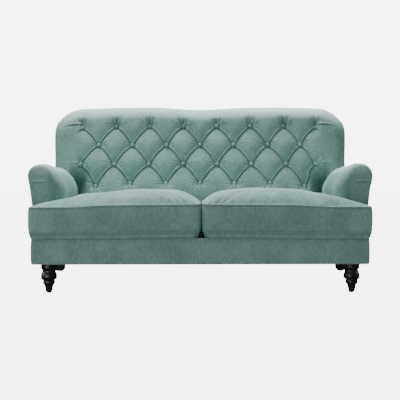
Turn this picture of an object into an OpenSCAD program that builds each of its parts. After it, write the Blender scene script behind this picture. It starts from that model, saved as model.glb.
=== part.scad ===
// Two-seat sofa with a deep-buttoned back, low rolled arms and two loose T-shaped seat cushions.
// +Z up, front towards -Y, origin on the floor under the middle of the sofa. Millimetres.

/* [Overall] */
// Width of the base over its covers
base_w = 1660; // [1600:10:1760]
// Height of the back at its two humps
back_top = 950; // [940:5:980]
// Height of the legs, glides included
leg_h = 145; // [125:5:165]

/* [Base] */
// Height of the base from its lower edge to the seat deck
base_h = 120; // [110:5:140]
// How far the seat cushions reach in front of the base
front_overhang = 30; // [24:1:40]
// How far the base stops short of the rearmost point of the back
rear_setback = 55; // [45:1:70]
// Thickness of the padded outer covers
cover_t = 6; // [4:0.5:8]
// Thickness of the frame rails
rail_t = 28; // [24:1:32]
// Thickness of the foam seat deck
deck_t = 18; // [12:1:20]
// Radius of the upright corners of the front border
border_r = 16; // [10:1:20]

/* [Springs] */
// Number of zigzag seat springs
spring_count = 7; // [5:1:9]
// Thickness of the spring wire
spring_wire = 3.6; // [3:0.2:4]
// Width of a zigzag spring
spring_w = 46; // [36:2:54]
// Length of one full zigzag
spring_pitch = 64; // [50:2:80]

/* [Cushions] */
// Height of the cushion side between its two seams
boxing_h = 133; // [115:1:145]
// How far the underside swells below the lower seam
belly_h = 26; // [18:1:32]
// How far the top swells above the upper seam
crown_h = 80; // [60:1:90]
// How far the boxing swells outwards at half height
boxing_swell = 5; // [3:0.5:7]
// How far each side is drawn in between its corners
draw_in = 5; // [2:0.5:7]
// Depth of the seat from the cushion front to the back pad
seat_d = 585; // [560:5:620]
// Depth of the wing that lies in front of the arm
wing_d = 120; // [105:1:130]
// How far the wing reaches past the side of the base
wing_past_base = 6; // [2:1:10]
// Length of the zip in the rear of a cushion
zip_l = 480; // [400:10:540]

/* [Arms] */
// Radius of the arm roll
arm_r = 87; // [80:1:92]
// Height of the arm at its front
arm_front_h = 633; // [600:1:650]
// Drop of the arm roll from front to rear
arm_drop = 42; // [20:1:60]
// How far the arm roll reaches past the side of the base
arm_past_base = 38; // [32:1:44]
// Thickness of the arm padding
arm_pad_t = 28; // [22:1:32]
// How far the padded arm front swells forwards
arm_dome = 24; // [16:1:30]

/* [Back] */
// How far the side of the back lies inside the side of the base
back_in = 10; // [8:1:30]
// Lean of the back from upright, in degrees
lean = 14; // [10:0.5:16]
// Thickness of the back pad
back_pad_t = 105; // [95:1:115]
// Radius of the rounded upper corners of the back
back_corner_r = 140; // [120:5:160]
// Radius of the roll along the sides and top of the back
back_roll_r = 70; // [60:1:80]
// Depth of the posts and the top rail of the back
post_d = 58; // [45:1:65]
// How far the cap of the back reaches behind its frame
cap_over = 35.5; // [30:0.5:50]
// Dip between the two humps of the top
hump_h = 12; // [6:1:18]
// Sideways distance between the two humps and the middle
hump_x = 275; // [240:5:300]

/* [Buttons] */
// Distance between neighbouring buttons in a row
button_pitch = 190; // [180:1:195]
// Height between one row of buttons and the next
row_pitch = 108; // [100:1:112]
// Distance of the top row below the top of the back
top_row_drop = 107; // [95:1:115]
// Depth of a button below the pillows around it
tuft_d = 34; // [24:1:40]
// Radius of a covered button
button_r = 11; // [9:0.5:13]
// Thickness of a covered button
button_t = 8; // [6:0.5:10]

/* [Legs] */
// Radius of the collar of a turned front leg
front_leg_r = 39; // [34:1:42]
// Distance of a front leg's centre from the side of the base
front_leg_in = 82; // [70:1:90]
// Distance of a front leg's centre from the front of the base
front_leg_back = 60; // [52:1:70]
// Width of a square rear leg at its top
rear_leg_w = 54; // [46:1:60]
// How far the foot of a rear leg is raked backwards
rear_leg_rake = 24; // [10:1:34]
// How far the foot of a rear leg is splayed outwards
rear_leg_splay = 14; // [0:1:18]
// Thickness of a glide
glide_t = 4; // [3:0.5:6]
// Radius of a leg bolt
bolt_r = 4; // [3:0.5:5]

/* [Hidden] */
$fn = 48;

cover_green = [0.47, 0.61, 0.58];
deck_green = [0.38, 0.50, 0.47];
timber = [0.78, 0.64, 0.45];
black_wood = [0.05, 0.05, 0.05];
steel = [0.6, 0.6, 0.62];
foam_white = [0.92, 0.90, 0.84];
jute = [0.70, 0.60, 0.44];
cambric = [0.08, 0.08, 0.09];

// Clearance between pieces that lie on each other
seat = 0.3;
// Clearance around a bolt in its hole
bolt_clear = 0.2;
// Clearance between a cushion and what it lies against
cushion_clear = 4;

// Heights
base_z = leg_h;
deck_z = base_z + base_h;
rail_z = base_z + 1.5;
insulator_t = 3;
clip_t = 1.2;
rail_top = deck_z - deck_t - insulator_t - clip_t - spring_wire - 4 * seat;
lower_seam_z = deck_z + seat + belly_h;
upper_seam_z = lower_seam_z + boxing_h;
pad_z = deck_z + seat;
top_row_z = back_top - top_row_drop;
// Height at which the cap of the back begins to turn over
cap_z = back_top - hump_h - back_roll_r - 2;

// Gap behind the back pad that the two layers of webbing fill
webbing_t = 1.8;
webbing_gap = 2 * webbing_t + 3 * seat;

// Plan: the depth is that of the seat, the leaning pad, the back frame and the cap's overhang
lean_run = (cap_z - upper_seam_z) * tan(lean);
depth = seat_d + back_pad_t + lean_run + (webbing_gap + post_d) / cos(lean) + cap_over;
front_y = -depth / 2;
rear_y = depth / 2;
base_front = front_y + front_overhang;
base_rear = rear_y - rear_setback;
half_w = base_w / 2;
back_half_w = half_w - back_in;
in_x = half_w - cover_t - seat;
in_front = base_front + cover_t + seat;
in_rear = base_rear - cover_t - seat;

// Arms: the roll's axis runs level with x and falls from front to rear
arm_out = half_w + arm_past_base;
arm_x = arm_out - arm_r;
arm_in = arm_x - arm_r;
arm_y0 = front_y + wing_d + cushion_clear + arm_dome;
seat_back_y = front_y + seat_d;
// Outer face of the outside back, and the place where the arms end in front of it
function panel_y(z) = base_rear + (rear_setback - 2) * (z - base_z) / (cap_z - base_z);
function panel_in(z) = panel_y(z) - cover_t - seat;
arm_y1 = panel_in(arm_front_h - arm_drop - arm_r);
function arm_top(y) = arm_front_h - arm_drop * (y - arm_y0) / (arm_y1 - arm_y0);
// Angle below level at which the roll tucks into the outside arm
roll_tuck = 35;
tuck_x = arm_x + arm_r * cos(roll_tuck);
function tuck_z(y) = arm_top(y) - arm_r - arm_r * sin(roll_tuck);

// Back: its face is upright behind the cushions and leans back above their seam
function face_y(z) = seat_back_y + max(0, z - upper_seam_z) * tan(lean);
function pad_rear_y(z) = seat_back_y + back_pad_t + (z - upper_seam_z) * tan(lean);
rows = 4;
// Lattice of the tufting: a third of a half diamond each way
step_x = button_pitch / 6;
step_z = row_pitch / 3;
// Columns that carry the tufting on each side of the middle
tuft_cols = 21;

// Legs
front_leg_x = half_w - front_leg_in;
front_leg_y = base_front + front_leg_back;
rear_leg_x = half_w - rear_leg_w / 2 + 3;
rear_leg_y = base_rear - rear_leg_w / 2 - 8;
rear_bolt_x = half_w - cover_t - seat - rail_t / 2;
leg_top = base_z - seat;
bolt_len = 46;

function lerp(a, b, t) = a + (b - a) * t;
function smooth(t) = let (c = min(1, max(0, t))) c * c * (3 - 2 * c);
function arc_pts(cx, cy, r, a0, a1, n) = [
  for (i = [0:n]) let (a = lerp(a0, a1, i / n)) [cx + r * cos(a), cy + r * sin(a)]
];

// Copies the children to both sides of the sofa
module both() {
  children();
  mirror([1, 0, 0]) children();
}

// Closed solid skinned through loops with equal numbers of points, counter-clockwise when
// seen from before the first loop. Its ends are closed by strips between the two halves of
// a loop, or by fans around a hub given for each end.
module skin(loops, hubs = []) {
  n = len(loops[0]);
  m = len(loops);
  sides = [
    for (j = [0:m - 2], i = [0:n - 1])
      let (k = (i + 1) % n, a = j * n + i, b = j * n + k, c = (j + 1) * n + k, d = (j + 1) * n + i)
        each [[a, b, c], [a, c, d]]
  ];
  strip = [
    for (i = [0:ceil(n / 2) - 2])
      let (j = n - 1 - i) each i + 1 == j - 1 ? [[i, i + 1, j]] : [[i, i + 1, j], [i + 1, j - 1, j]]
  ];
  fan = [for (i = [0:n - 1]) [i, (i + 1) % n, -1]];
  cap = len(hubs) == 0 ? strip : fan;
  function at(v, row, hub) = v < 0 ? n * m + hub : v + row * n;
  first = [for (t = cap) [at(t[2], 0, 0), at(t[1], 0, 0), at(t[0], 0, 0)]];
  last = [for (t = cap) [at(t[0], m - 1, 1), at(t[1], m - 1, 1), at(t[2], m - 1, 1)]];
  polyhedron(concat([for (l = loops) each l], hubs), concat(sides, first, last), convexity = 10);
}

// Beam with a profile in the YZ plane, from x0 to x1
module yz_beam(x0, x1, profile) {
  translate([x0, 0, 0])
    rotate([90, 0, 90])
      linear_extrude(x1 - x0) polygon(profile);
}

// Box between two corners
module box(a, b) {
  translate(a) cube(b - a);
}

// Places children whose z axis runs up the rear plane of the back pad
module on_back_plane() {
  translate([0, pad_rear_y(upper_seam_z), upper_seam_z])
    rotate([-lean, 0, 0]) children();
}
// Distance up that plane to a height z, for a point that lies y behind the plane
function up_plane(z, y = 0) = (z - upper_seam_z + y * sin(lean)) / cos(lean);

// Base frame

// Front corners of what lies inside the front border, cut back to its rounding
corner_cut = border_r - cover_t;
front_corners = [
  [-in_x, in_front + corner_cut], [-in_x + corner_cut, in_front],
  [in_x - corner_cut, in_front], [in_x, in_front + corner_cut]
];

module front_rail() {
  y = in_front + rail_t;
  color(timber)
    translate([0, 0, rail_z])
      linear_extrude(rail_top - rail_z) polygon(concat(front_corners, [[in_x, y], [-in_x, y]]));
}

module rear_rail() {
  color(timber)
    box([-in_x + rail_t + seat, in_rear - rail_t, rail_z], [in_x - rail_t - seat, in_rear, rail_top]);
}

module side_rail() {
  color(timber)
    difference() {
      box([in_x - rail_t, in_front + rail_t + seat, rail_z], [in_x, in_rear, rail_top]);
      translate([rear_bolt_x, rear_leg_y, rail_z - 1])
        cylinder(h = bolt_len + 1, r = bolt_r + bolt_clear);
    }
}

module left_side_rail() { mirror([1, 0, 0]) side_rail(); }
module right_side_rail() { side_rail(); }

// Rail between the side rails that holds the rear ends of the seat springs
spring_rail_in = 62;
spring_rail_y = pad_rear_y(deck_z) - spring_rail_in;
module spring_rail() {
  color(timber)
    box([-in_x + rail_t + seat, spring_rail_y, rail_z],
        [in_x - rail_t - seat, spring_rail_y + rail_t, rail_top]);
}

// Short rail from the front rail to the spring rail, below the springs
stretcher_drop = 12;
module seat_stretcher() {
  color(timber)
    box([-rail_t / 2, in_front + rail_t + seat, rail_z],
        [rail_t / 2, spring_rail_y - seat, rail_top - stretcher_drop]);
}

block_d = 84;
module corner_block() {
  x1 = in_x - rail_t - seat;
  x0 = front_leg_x - block_d / 2;
  y0 = in_front + rail_t + seat;
  difference() {
    translate([0, 0, rail_z])
      linear_extrude(rail_top - rail_z)
        polygon([[x0, y0], [x1, y0], [x1, y0 + block_d], [x1 - 20, y0 + block_d], [x0, y0 + 40]]);
    translate([front_leg_x, front_leg_y, rail_z - 1])
      cylinder(h = base_h, r = bolt_r + bolt_clear);
  }
}

module rear_block() {
  x1 = in_x - rail_t - seat;
  y1 = in_rear - rail_t - seat;
  translate([0, 0, rail_z])
    linear_extrude(rail_top - rail_z)
      polygon([
        [x1, y1], [x1 - block_d, y1], [x1 - block_d, y1 - 20], [x1 - 20, y1 - block_d], [x1, y1 - block_d]
      ]);
}

module corner_blocks() {
  color(timber) both() { corner_block(); rear_block(); }
}

// Back frame, drawn on the leaning rear plane of the back pad

post_w = 40;
post_x1 = in_x - rail_t - 2 * seat;
post_low = up_plane(rail_z + 8, webbing_gap + post_d);
rail_band = 70;
shoulder = 55;
top_rail_low = up_plane(pad_low(post_x1) - shoulder, webbing_gap);

module back_post() {
  color(timber)
    on_back_plane()
      box([post_x1 - post_w, webbing_gap, post_low],
          [post_x1, webbing_gap + post_d, top_rail_low - seat]);
}

module left_back_post() { mirror([1, 0, 0]) back_post(); }
module right_back_post() { back_post(); }

// The shaped top rail sits on the posts and carries the padded cap of the back
module back_top_rail() {
  side = [
    for (x = concat([post_x1], pad_xs_between(post_x1))) [x, up_plane(pad_under(x) - seat, webbing_gap)]
  ];
  color(timber)
    on_back_plane()
      translate([0, webbing_gap + post_d, 0])
        rotate([90, 0, 0])
          linear_extrude(post_d)
            polygon(concat(
              [[-post_x1, top_rail_low], [post_x1, top_rail_low]], side,
              [for (i = [len(side) - 1:-1:0]) [-side[i][0], side[i][1]]]
            ));
}

lower_rail_low = up_plane(top_row_z - 3 * row_pitch - rail_band - 15);
module back_lower_rail() {
  color(timber)
    on_back_plane()
      box([-post_x1 + post_w + seat, webbing_gap, lower_rail_low],
          [post_x1 - post_w - seat, webbing_gap + rail_t, lower_rail_low + rail_band]);
}

upright_x = 250;
upright_w = 40;
module back_uprights() {
  color(timber)
    both()
      on_back_plane()
        box([upright_x - upright_w / 2, webbing_gap, lower_rail_low + rail_band + seat],
            [upright_x + upright_w / 2, webbing_gap + rail_t, top_rail_low - seat]);
}

// Coach bolts that hold the back posts to the side rails
post_bolt_z = rail_z + 40;
post_bolt_apart = 28;
post_bolt_head = 5;
module post_bolts() {
  y = pad_rear_y(post_bolt_z) + post_d / 2 + 8;
  color(steel)
    both()
      for (dy = [-0.5, 0.5] * post_bolt_apart)
        translate([post_x1 - post_w - post_bolt_head - 1, y + dy, post_bolt_z + dy])
          rotate([0, 90, 0]) {
            cylinder(h = post_w + rail_t, r = bolt_r, $fn = 12);
            cylinder(h = post_bolt_head, r = 2 * bolt_r, $fn = 6);
          }
}

// Arm frame

stump_w = 70;
stump_d = 45;
arm_rail_h = 30;
arm_rail_w = 60;
arm_rail_y1 = seat_back_y + 20;
arm_rail_slope = -arm_drop / (arm_y1 - arm_y0);
stump_x = arm_x;
stump_y = arm_y0 + seat;
// The rail fits into the hollow of the padding, which rests on its two upper edges
arm_rail_z0 = arm_front_h - arm_r + sqrt(pow(arm_r - arm_pad_t, 2) - pow(arm_rail_w / 2, 2)) - 2 * seat;

module arm_stump() {
  color(timber)
    yz_beam(stump_x - stump_w / 2, stump_x + stump_w / 2, [
      [stump_y, rail_top + seat],
      [stump_y + stump_d, rail_top + seat],
      [stump_y + stump_d, arm_rail_z0 + stump_d * arm_rail_slope - arm_rail_h - seat],
      [stump_y, arm_rail_z0 - arm_rail_h - seat]
    ]);
}

module left_arm_stump() { mirror([1, 0, 0]) arm_stump(); }
module right_arm_stump() { arm_stump(); }

module arm_rail() {
  fall = (arm_rail_y1 - stump_y) * arm_rail_slope;
  color(timber)
    yz_beam(arm_x - arm_rail_w / 2, arm_x + arm_rail_w / 2, [
      [stump_y, arm_rail_z0 - arm_rail_h],
      [arm_rail_y1, arm_rail_z0 + fall - arm_rail_h],
      [arm_rail_y1, arm_rail_z0 + fall],
      [stump_y, arm_rail_z0]
    ]);
}

module left_arm_rail() { mirror([1, 0, 0]) arm_rail(); }
module right_arm_rail() { arm_rail(); }

// Low rail that the lower edge of the inside arm is tacked to
tack_rail_w = 26;
tack_rail_h = 50;
module arm_tack_rail() {
  x0 = arm_in + arm_pad_t + seat;
  z0 = deck_z + 8;
  color(timber)
    box([x0, stump_y + stump_d + seat, z0], [x0 + tack_rail_w, seat_back_y - seat, z0 + tack_rail_h]);
}

module left_arm_tack_rail() { mirror([1, 0, 0]) arm_tack_rail(); }
module right_arm_tack_rail() { arm_tack_rail(); }

// Springs: one ribbon of square wire per spring, bent to and fro

spring_y0 = in_front + rail_t / 2;
spring_y1 = spring_rail_y + rail_t / 2;
spring_z = rail_top + seat;
// Distance of the outermost springs from the inside of the arms
spring_in = 60;
spring_span = 2 * (arm_in - spring_in);
function spring_x(k) = -spring_span / 2 + spring_span * k / (spring_count - 1);
bends = 2 * floor((spring_y1 - spring_y0 - 30) / spring_pitch);
bend_len = (spring_y1 - spring_y0 - 30) / bends;
arc_steps = 3;

// Middle line of a spring: straight ends under the clips, and half circles between
spring_end = 10;
spring_line = concat(
  [[0, spring_y0], [0, spring_y0 + spring_end]],
  [for (b = [0:bends - 1], i = [0:arc_steps])
    let (side = b % 2 == 0 ? 1 : -1, a = 180 * i / arc_steps, yc = spring_y0 + 15 + bend_len * (b + 0.5))
      [side * (spring_w / 2 - bend_len / 2 + bend_len / 2 * sin(a)), yc - bend_len / 2 * cos(a)]],
  [[0, spring_y1 - spring_end], [0, spring_y1]]
);

function unit(v) = v / norm(v);
function side_of(line, i) = let (
    a = line[max(0, i - 1)], b = line[min(len(line) - 1, i + 1)], d = unit(b - a)
  ) [-d[1], d[0]];

module spring_outline(line, w) {
  n = len(line);
  polygon(concat(
    [for (i = [0:n - 1]) line[i] + side_of(line, i) * w / 2],
    [for (i = [n - 1:-1:0]) line[i] - side_of(line, i) * w / 2]
  ));
}

module seat_springs() {
  color(steel)
    for (k = [0:spring_count - 1])
      translate([spring_x(k), 0, spring_z])
        linear_extrude(spring_wire) spring_outline(spring_line, spring_wire);
}

// Clip over each end of each spring, open at the sides
clip_w = 16;
clip_l = 11;
module spring_clips() {
  color(steel)
    for (k = [0:spring_count - 1], y = [spring_y0 - 2, spring_y1 + 2 - clip_l])
      translate([spring_x(k), y, rail_top]) {
        for (s = [-1, 1])
          translate([s * (clip_w / 2) - clip_t / 2, 0, 0.05])
            cube([clip_t, clip_l, spring_wire + seat + 0.2]);
        translate([-clip_w / 2 - clip_t / 2, 0, seat + spring_wire + 0.2])
          cube([clip_w + clip_t, clip_l, clip_t]);
      }
}

module spring_insulator() {
  z = rail_top + spring_wire + clip_t + 3 * seat;
  color(jute)
    box([-arm_in + 12, in_front + 2, z],
        [arm_in - 12, spring_y1 + rail_t / 2, z + insulator_t]);
}

// Foam deck in its platform cloth, wide in front of the arms
module seat_deck() {
  z = deck_z - deck_t;
  color(deck_green)
    translate([0, 0, z])
      linear_extrude(deck_t)
        polygon(concat(front_corners, [
          [in_x, arm_y0 - seat], [arm_in - seat, arm_y0 - seat],
          [arm_in - seat, seat_back_y - seat], [-arm_in + seat, seat_back_y - seat],
          [-arm_in + seat, arm_y0 - seat], [-in_x, arm_y0 - seat]
        ]));
}

// Webbing of the back: level straps on the pad, upright straps on the frame

strap_w = 50;
strap_xs = [for (t = [-0.8, -0.56, -0.19, 0, 0.19, 0.56, 0.8]) t * (post_x1 - post_w)];
module back_webbing() {
  low = lower_rail_low + 10;
  high = top_rail_low + 30;
  color(jute)
    on_back_plane() {
      for (x = strap_xs)
        box([x - strap_w / 2, webbing_t + 2 * seat, low], [x + strap_w / 2, 2 * webbing_t + 2 * seat, high]);
      for (t = [0.3, 0.6])
        box([-post_x1 + 2, seat, lerp(low, high, t) - strap_w / 2],
            [post_x1 - 2, seat + webbing_t, lerp(low, high, t) + strap_w / 2]);
    }
}

// Back pad

// Depth of the tufting below the pillows, at a distance x and z from a button,
// in half diamonds: creases run along whole a + b and a - b
function to_crease(v) = abs(v - round(v));
function tuft(x, z) = let (
    u = x / button_pitch - 0.5,
    v = (z - top_row_z) / (2 * row_pitch),
    a = to_crease(u + v) * 2,
    b = to_crease(u - v) * 2,
    pillow = pow(max(0, a * b), 0.4),
    fade = 1 - smooth((abs(x) - 3.5 * button_pitch) / 90),
    above = smooth((z - top_row_z) / 45),
    below = smooth((top_row_z - 3 * row_pitch - z) / 45),
    seam = pow(to_crease(u) * 2, 0.6)
  ) tuft_d * fade * (1 - lerp(pillow, lerp(0.82, 1, seam), max(above, below)));

// The sides of the pad roll back, and its top falls at the corners and dips in the middle
function side_roll(x) = let (t = min(1, max(0, (abs(x) - back_half_w + back_roll_r) / back_roll_r)))
  back_roll_r * (1 - sqrt(1 - t * t));
function corner_drop(x) = let (t = min(1, max(0, (abs(x) - back_half_w + back_corner_r) / back_corner_r)))
  back_corner_r * (1 - sqrt(1 - t * t));
function hump(x) = abs(x) < hump_x
  ? hump_h / 2 * (1 + cos(180 * x / hump_x))
  : hump_h * pow((abs(x) - hump_x) / (back_half_w - hump_x), 2);
function top_z(x) = back_top - hump(x) - corner_drop(x);

roll_steps = 3;
// Height above the top row at which the folds' depth on the roll is taken
roll_fold_z = 60;
face_rows = concat([pad_z], [for (k = [10:-1:0]) top_row_z - k * step_z]);
// Fall of a level line of the pad at the rounded corners
function settle(x, z) = z - corner_drop(x) * pow((z - pad_z) / (back_top - pad_z), 2);
function cap_r(x) = min(back_roll_r, (top_z(x) - settle(x, top_row_z)) * 0.9);
// Underside of the cap, which the top rail and the outside back reach up to
function pad_low(x) = min(cap_z, top_z(x) - cap_r(x)) - 4;

// One upright section of the pad at x: up the face, over the roll, down the rear.
// Beside the posts the pad reaches back to the outside back.
function pad_section(x) = let (
    r = cap_r(x),
    top = top_z(x),
    roll_d = side_roll(x),
    yt = face_y(top - r) + roll_d,
    rear = rear_y - roll_d * 0.6,
    low = pad_low(x),
    beside = abs(x) > side_wall_x
  ) concat(
    [for (z = face_rows) let (zs = settle(x, z)) [x, face_y(zs) + tuft(x, z) + roll_d, zs]],
    [for (i = [0:roll_steps]) let (a = 90 * i / roll_steps, fold = tuft(x, top_row_z + roll_fold_z))
      [x, yt + r + fold * (1 - i / roll_steps) - r * cos(a), top - r + r * sin(a)]],
    [[x, rear - r * 0.3, top - r * 0.3], [x, rear, top - r], [x, rear, low]],
    [[x, beside ? min(panel_in(low), rear - 8) : pad_rear_y(low) - seat, low]],
    [[x, beside ? panel_in(pad_z) : pad_rear_y(pad_z) - seat, pad_z]]
  );

side_wall_x = half_w - cover_t - rail_t - seat;
side_xs = concat(
  [for (t = [0.2, 0.45, 0.68, 0.85]) lerp(3.5 * button_pitch, side_wall_x, t)],
  [side_wall_x - 0.4, side_wall_x + 0.1, lerp(side_wall_x, back_half_w, 0.6), back_half_w]
);
pad_xs = concat(
  [for (i = [len(side_xs) - 1:-1:0]) -side_xs[i]],
  [for (i = [-tuft_cols:tuft_cols]) i * step_x],
  side_xs
);

// Underside of the cap as the sections draw it, and the sections' places right of the last
// button up to a distance from the middle, from the outer one inwards
function pad_under(x) = lookup(x, [for (p = pad_xs) [p, pad_low(p)]]);
function pad_xs_between(outer) = [
  for (i = [len(pad_xs) - 1:-1:0]) if (pad_xs[i] < outer && pad_xs[i] > tuft_cols * step_x - 1) pad_xs[i]
];

module back_pad() {
  color(cover_green) skin([for (x = pad_xs) pad_section(x)]);
}

// Button places: four rows, eight and seven buttons in turn
button_places = [
  for (row = [0:rows - 1], i = [0:7 - row % 2])
    [(i - (7 - row % 2) / 2) * button_pitch, top_row_z - row * row_pitch]
];

module button_set() {
  for (p = button_places)
    translate([p[0], face_y(p[1]) + tuft_d, p[1]])
      rotate([90 - lean, 0, 0]) children();
}

// Fabric-covered dome on a short skirt
module back_buttons() {
  color(cover_green)
    button_set()
      rotate_extrude($fn = 12)
        polygon([
          [0, 0], [button_r, 0], [button_r, button_t * 0.4], [button_r * 0.7, button_t * 0.85], [0, button_t]
        ]);
}

// Twine from each button through the pad to the webbing
module button_twines() {
  color(jute)
    button_set()
      translate([0, 0, -(back_pad_t * cos(lean) - tuft_d - 1)])
        cylinder(h = back_pad_t * cos(lean) - tuft_d - 1, r = 1.2, $fn = 6);
}

// Outside back: padded board from the base's lower edge to the cap of the back, shaped
// at its sides like the ends of the arms
function arm_rear_z() = arm_front_h - arm_drop - arm_r;
module outside_back() {
  side = back_half_w - 3;
  start = acos((side - arm_x) / arm_r);
  right = concat(
    [[half_w, base_z], [half_w + 3, deck_z]],
    arc_pts(arm_x, arm_rear_z(), arm_r, -roll_tuck, start, 8),
    [for (x = concat([side], pad_xs_between(side))) [x, pad_under(x) - seat]]
  );
  n = len(right);
  color(cover_green)
    intersection() {
      translate([0, rear_y + 10, 0])
        rotate([90, 0, 0])
          linear_extrude(rear_setback + 60)
            polygon(concat(right, [for (i = [n - 1:-1:0]) [-right[i][0], right[i][1]]]));
      yz_beam(-arm_out - 1, arm_out + 1, [
        [panel_y(base_z - 1) - cover_t, base_z - 1], [panel_y(base_z - 1), base_z - 1],
        [panel_y(back_top), back_top], [panel_y(back_top) - cover_t, back_top]
      ]);
    }
}

// Arm covers

arc_n = 14;
// Padding of the arm as a hook over the arm rail, around a centre at height cz
function arm_hook(cz, y_at) = let (ri = arm_r - arm_pad_t) [
  for (p = concat(
    arc_pts(arm_x, cz, arm_r, -roll_tuck, 180, arc_n),
    [[arm_in, deck_z + seat], [arm_in + arm_pad_t, deck_z + seat]],
    arc_pts(arm_x, cz, ri, 180, -roll_tuck, arc_n)
  )) [p[0], y_at(p[1]), p[1]]
];

// Space of the back pad, which the arm is cut away from
module back_space() {
  out = 1;
  low = base_z + base_h / 2;
  rear = rear_y + rear_setback;
  yz_beam(-back_half_w - out, back_half_w + out, [
    [face_y(pad_z) - out, low], [face_y(pad_z) - out, upper_seam_z],
    [face_y(back_top) - out, back_top], [rear, back_top], [rear, low]
  ]);
}

module arm_pad() {
  color(cover_green)
    difference() {
      skin([
        arm_hook(arm_front_h - arm_r, function(z) arm_y0),
        arm_hook(arm_rear_z(), function(z) panel_in(z))
      ]);
      back_space();
    }
}

module left_arm_pad() { mirror([1, 0, 0]) arm_pad(); }
module right_arm_pad() { arm_pad(); }

// Outline of the arm's front, drawn in by a distance d
outside_top_z = tuck_z(arm_y0) + 2;
function front_outline(d, y) = let (cz = arm_top(arm_y0) - arm_r) concat(
  [[half_w + 3 - d, y, deck_z + seat + d * 0.2]],
  [for (p = arc_pts(arm_x, cz, arm_r - d, -roll_tuck, 180, arc_n)) [p[0], y, p[1]]],
  [[arm_in + d, y, deck_z + seat + d * 0.2]]
);
dome_steps = 4;
module arm_front() {
  color(cover_green)
    skin([
      for (i = [dome_steps:-1:0])
        let (a = 90 * i / dome_steps)
          front_outline(arm_dome * 1.3 * (1 - cos(a)), arm_y0 - seat - arm_dome * sin(a))
    ]);
}

module left_arm_front() { mirror([1, 0, 0]) arm_front(); }
module right_arm_front() { arm_front(); }

// Outside arm: padded board from the base's lower edge to the tuck of the roll
function outside_loop(top, y_at) = let (t = cover_t) [
  for (p = [
    [half_w - t, base_z], [half_w, base_z], [half_w + 3, deck_z], [tuck_x, top],
    [tuck_x - t, top], [half_w + 3 - t, deck_z]
  ]) [p[0], y_at(p[1]), p[1]]
];
module outside_arm() {
  color(cover_green)
    skin([
      outside_loop(tuck_z(arm_y0) - 2 * seat, function(z) arm_y0),
      outside_loop(tuck_z(arm_y1) - 2 * seat, function(z) panel_in(z))
    ]);
}

module left_outside_arm() { mirror([1, 0, 0]) outside_arm(); }
module right_outside_arm() { outside_arm(); }

// Front border: padded band round the front of the base, with rounded corners
module border_plan(x, y0, y1, r) {
  union() {
    translate([-x, y0 + r]) square([2 * x, y1 - y0 - r]);
    translate([-x + r, y0]) square([2 * (x - r), 2 * r]);
    for (s = [-1, 1]) translate([s * (x - r), y0 + r]) circle(r = r);
  }
}

module front_border() {
  color(cover_green)
    translate([0, 0, base_z])
      linear_extrude(base_h)
        difference() {
          border_plan(half_w, base_front, arm_y0 - seat, border_r);
          translate([0, 0.02])
            border_plan(half_w - cover_t, base_front + cover_t, arm_y0, border_r - cover_t);
        }
}

// Black cloth stapled under the base, with holes for the leg bolts
dust_t = 1.2;
module dust_cover() {
  color(cambric)
    difference() {
      translate([0, 0, base_z])
        linear_extrude(dust_t) polygon(concat(front_corners, [[in_x, in_rear], [-in_x, in_rear]]));
      both() {
        for (p = [[front_leg_x, front_leg_y], [rear_bolt_x, rear_leg_y]])
          translate([p[0], p[1], base_z - 1]) cylinder(h = 4, r = bolt_r + 1, $fn = 12);
      }
    }
}

// Legs

// Turned profile as shares of the collar's radius and of the leg's height
leg_profile = [
  [0.35, 0.00], [0.40, 0.03], [0.47, 0.11], [0.52, 0.18], [0.56, 0.24], [0.66, 0.27], [0.74, 0.30],
  [0.77, 0.34], [0.74, 0.38], [0.72, 0.41], [0.86, 0.44], [0.97, 0.47], [1.00, 0.51], [0.99, 0.55],
  [0.93, 0.61], [0.83, 0.68], [0.81, 0.73], [0.83, 0.75], [0.96, 0.78], [0.98, 0.80], [0.98, 1.00]
];

leg_steps = 24;
function leg_ring(p, h) = [
  for (i = [0:leg_steps - 1]) let (a = -360 * i / leg_steps)
    [p[0] * front_leg_r * cos(a), p[0] * front_leg_r * sin(a), p[1] * h]
];
module front_leg() {
  h = leg_top - glide_t;
  color(black_wood)
    translate([front_leg_x, front_leg_y, glide_t])
      difference() {
        skin([for (p = leg_profile) leg_ring(p, h)], [[0, 0, 0], [0, 0, h]]);
        translate([0, 0, h - bolt_len]) cylinder(h = bolt_len + 1, r = bolt_r + bolt_clear);
      }
}

module left_front_leg() { mirror([1, 0, 0]) front_leg(); }
module right_front_leg() { front_leg(); }

// Square leg, raked backwards, splayed outwards and slightly tapered towards its foot
rear_foot_w = rear_leg_w * 0.96;
rear_foot_x = rear_leg_x + rear_leg_splay;
rear_foot_y = rear_leg_y + rear_leg_rake;
function square_loop(cx, cy, w, c, z) = [
  [cx - w / 2 + c, cy - w / 2, z], [cx - w / 2, cy - w / 2 + c, z],
  [cx - w / 2, cy + w / 2 - c, z], [cx - w / 2 + c, cy + w / 2, z],
  [cx + w / 2 - c, cy + w / 2, z], [cx + w / 2, cy + w / 2 - c, z],
  [cx + w / 2, cy - w / 2 + c, z], [cx + w / 2 - c, cy - w / 2, z]
];

module rear_leg() {
  color(black_wood)
    difference() {
      skin([
        square_loop(rear_foot_x, rear_foot_y, rear_foot_w - 10, 3, glide_t),
        square_loop(rear_foot_x - 1, rear_foot_y - 1, rear_foot_w, 4, glide_t + 6),
        square_loop(rear_leg_x, rear_leg_y, rear_leg_w, 4, leg_top)
      ]);
      translate([rear_bolt_x, rear_leg_y, leg_top - bolt_len])
        cylinder(h = bolt_len + 1, r = bolt_r + bolt_clear);
    }
}

module left_rear_leg() { mirror([1, 0, 0]) rear_leg(); }
module right_rear_leg() { rear_leg(); }

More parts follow.
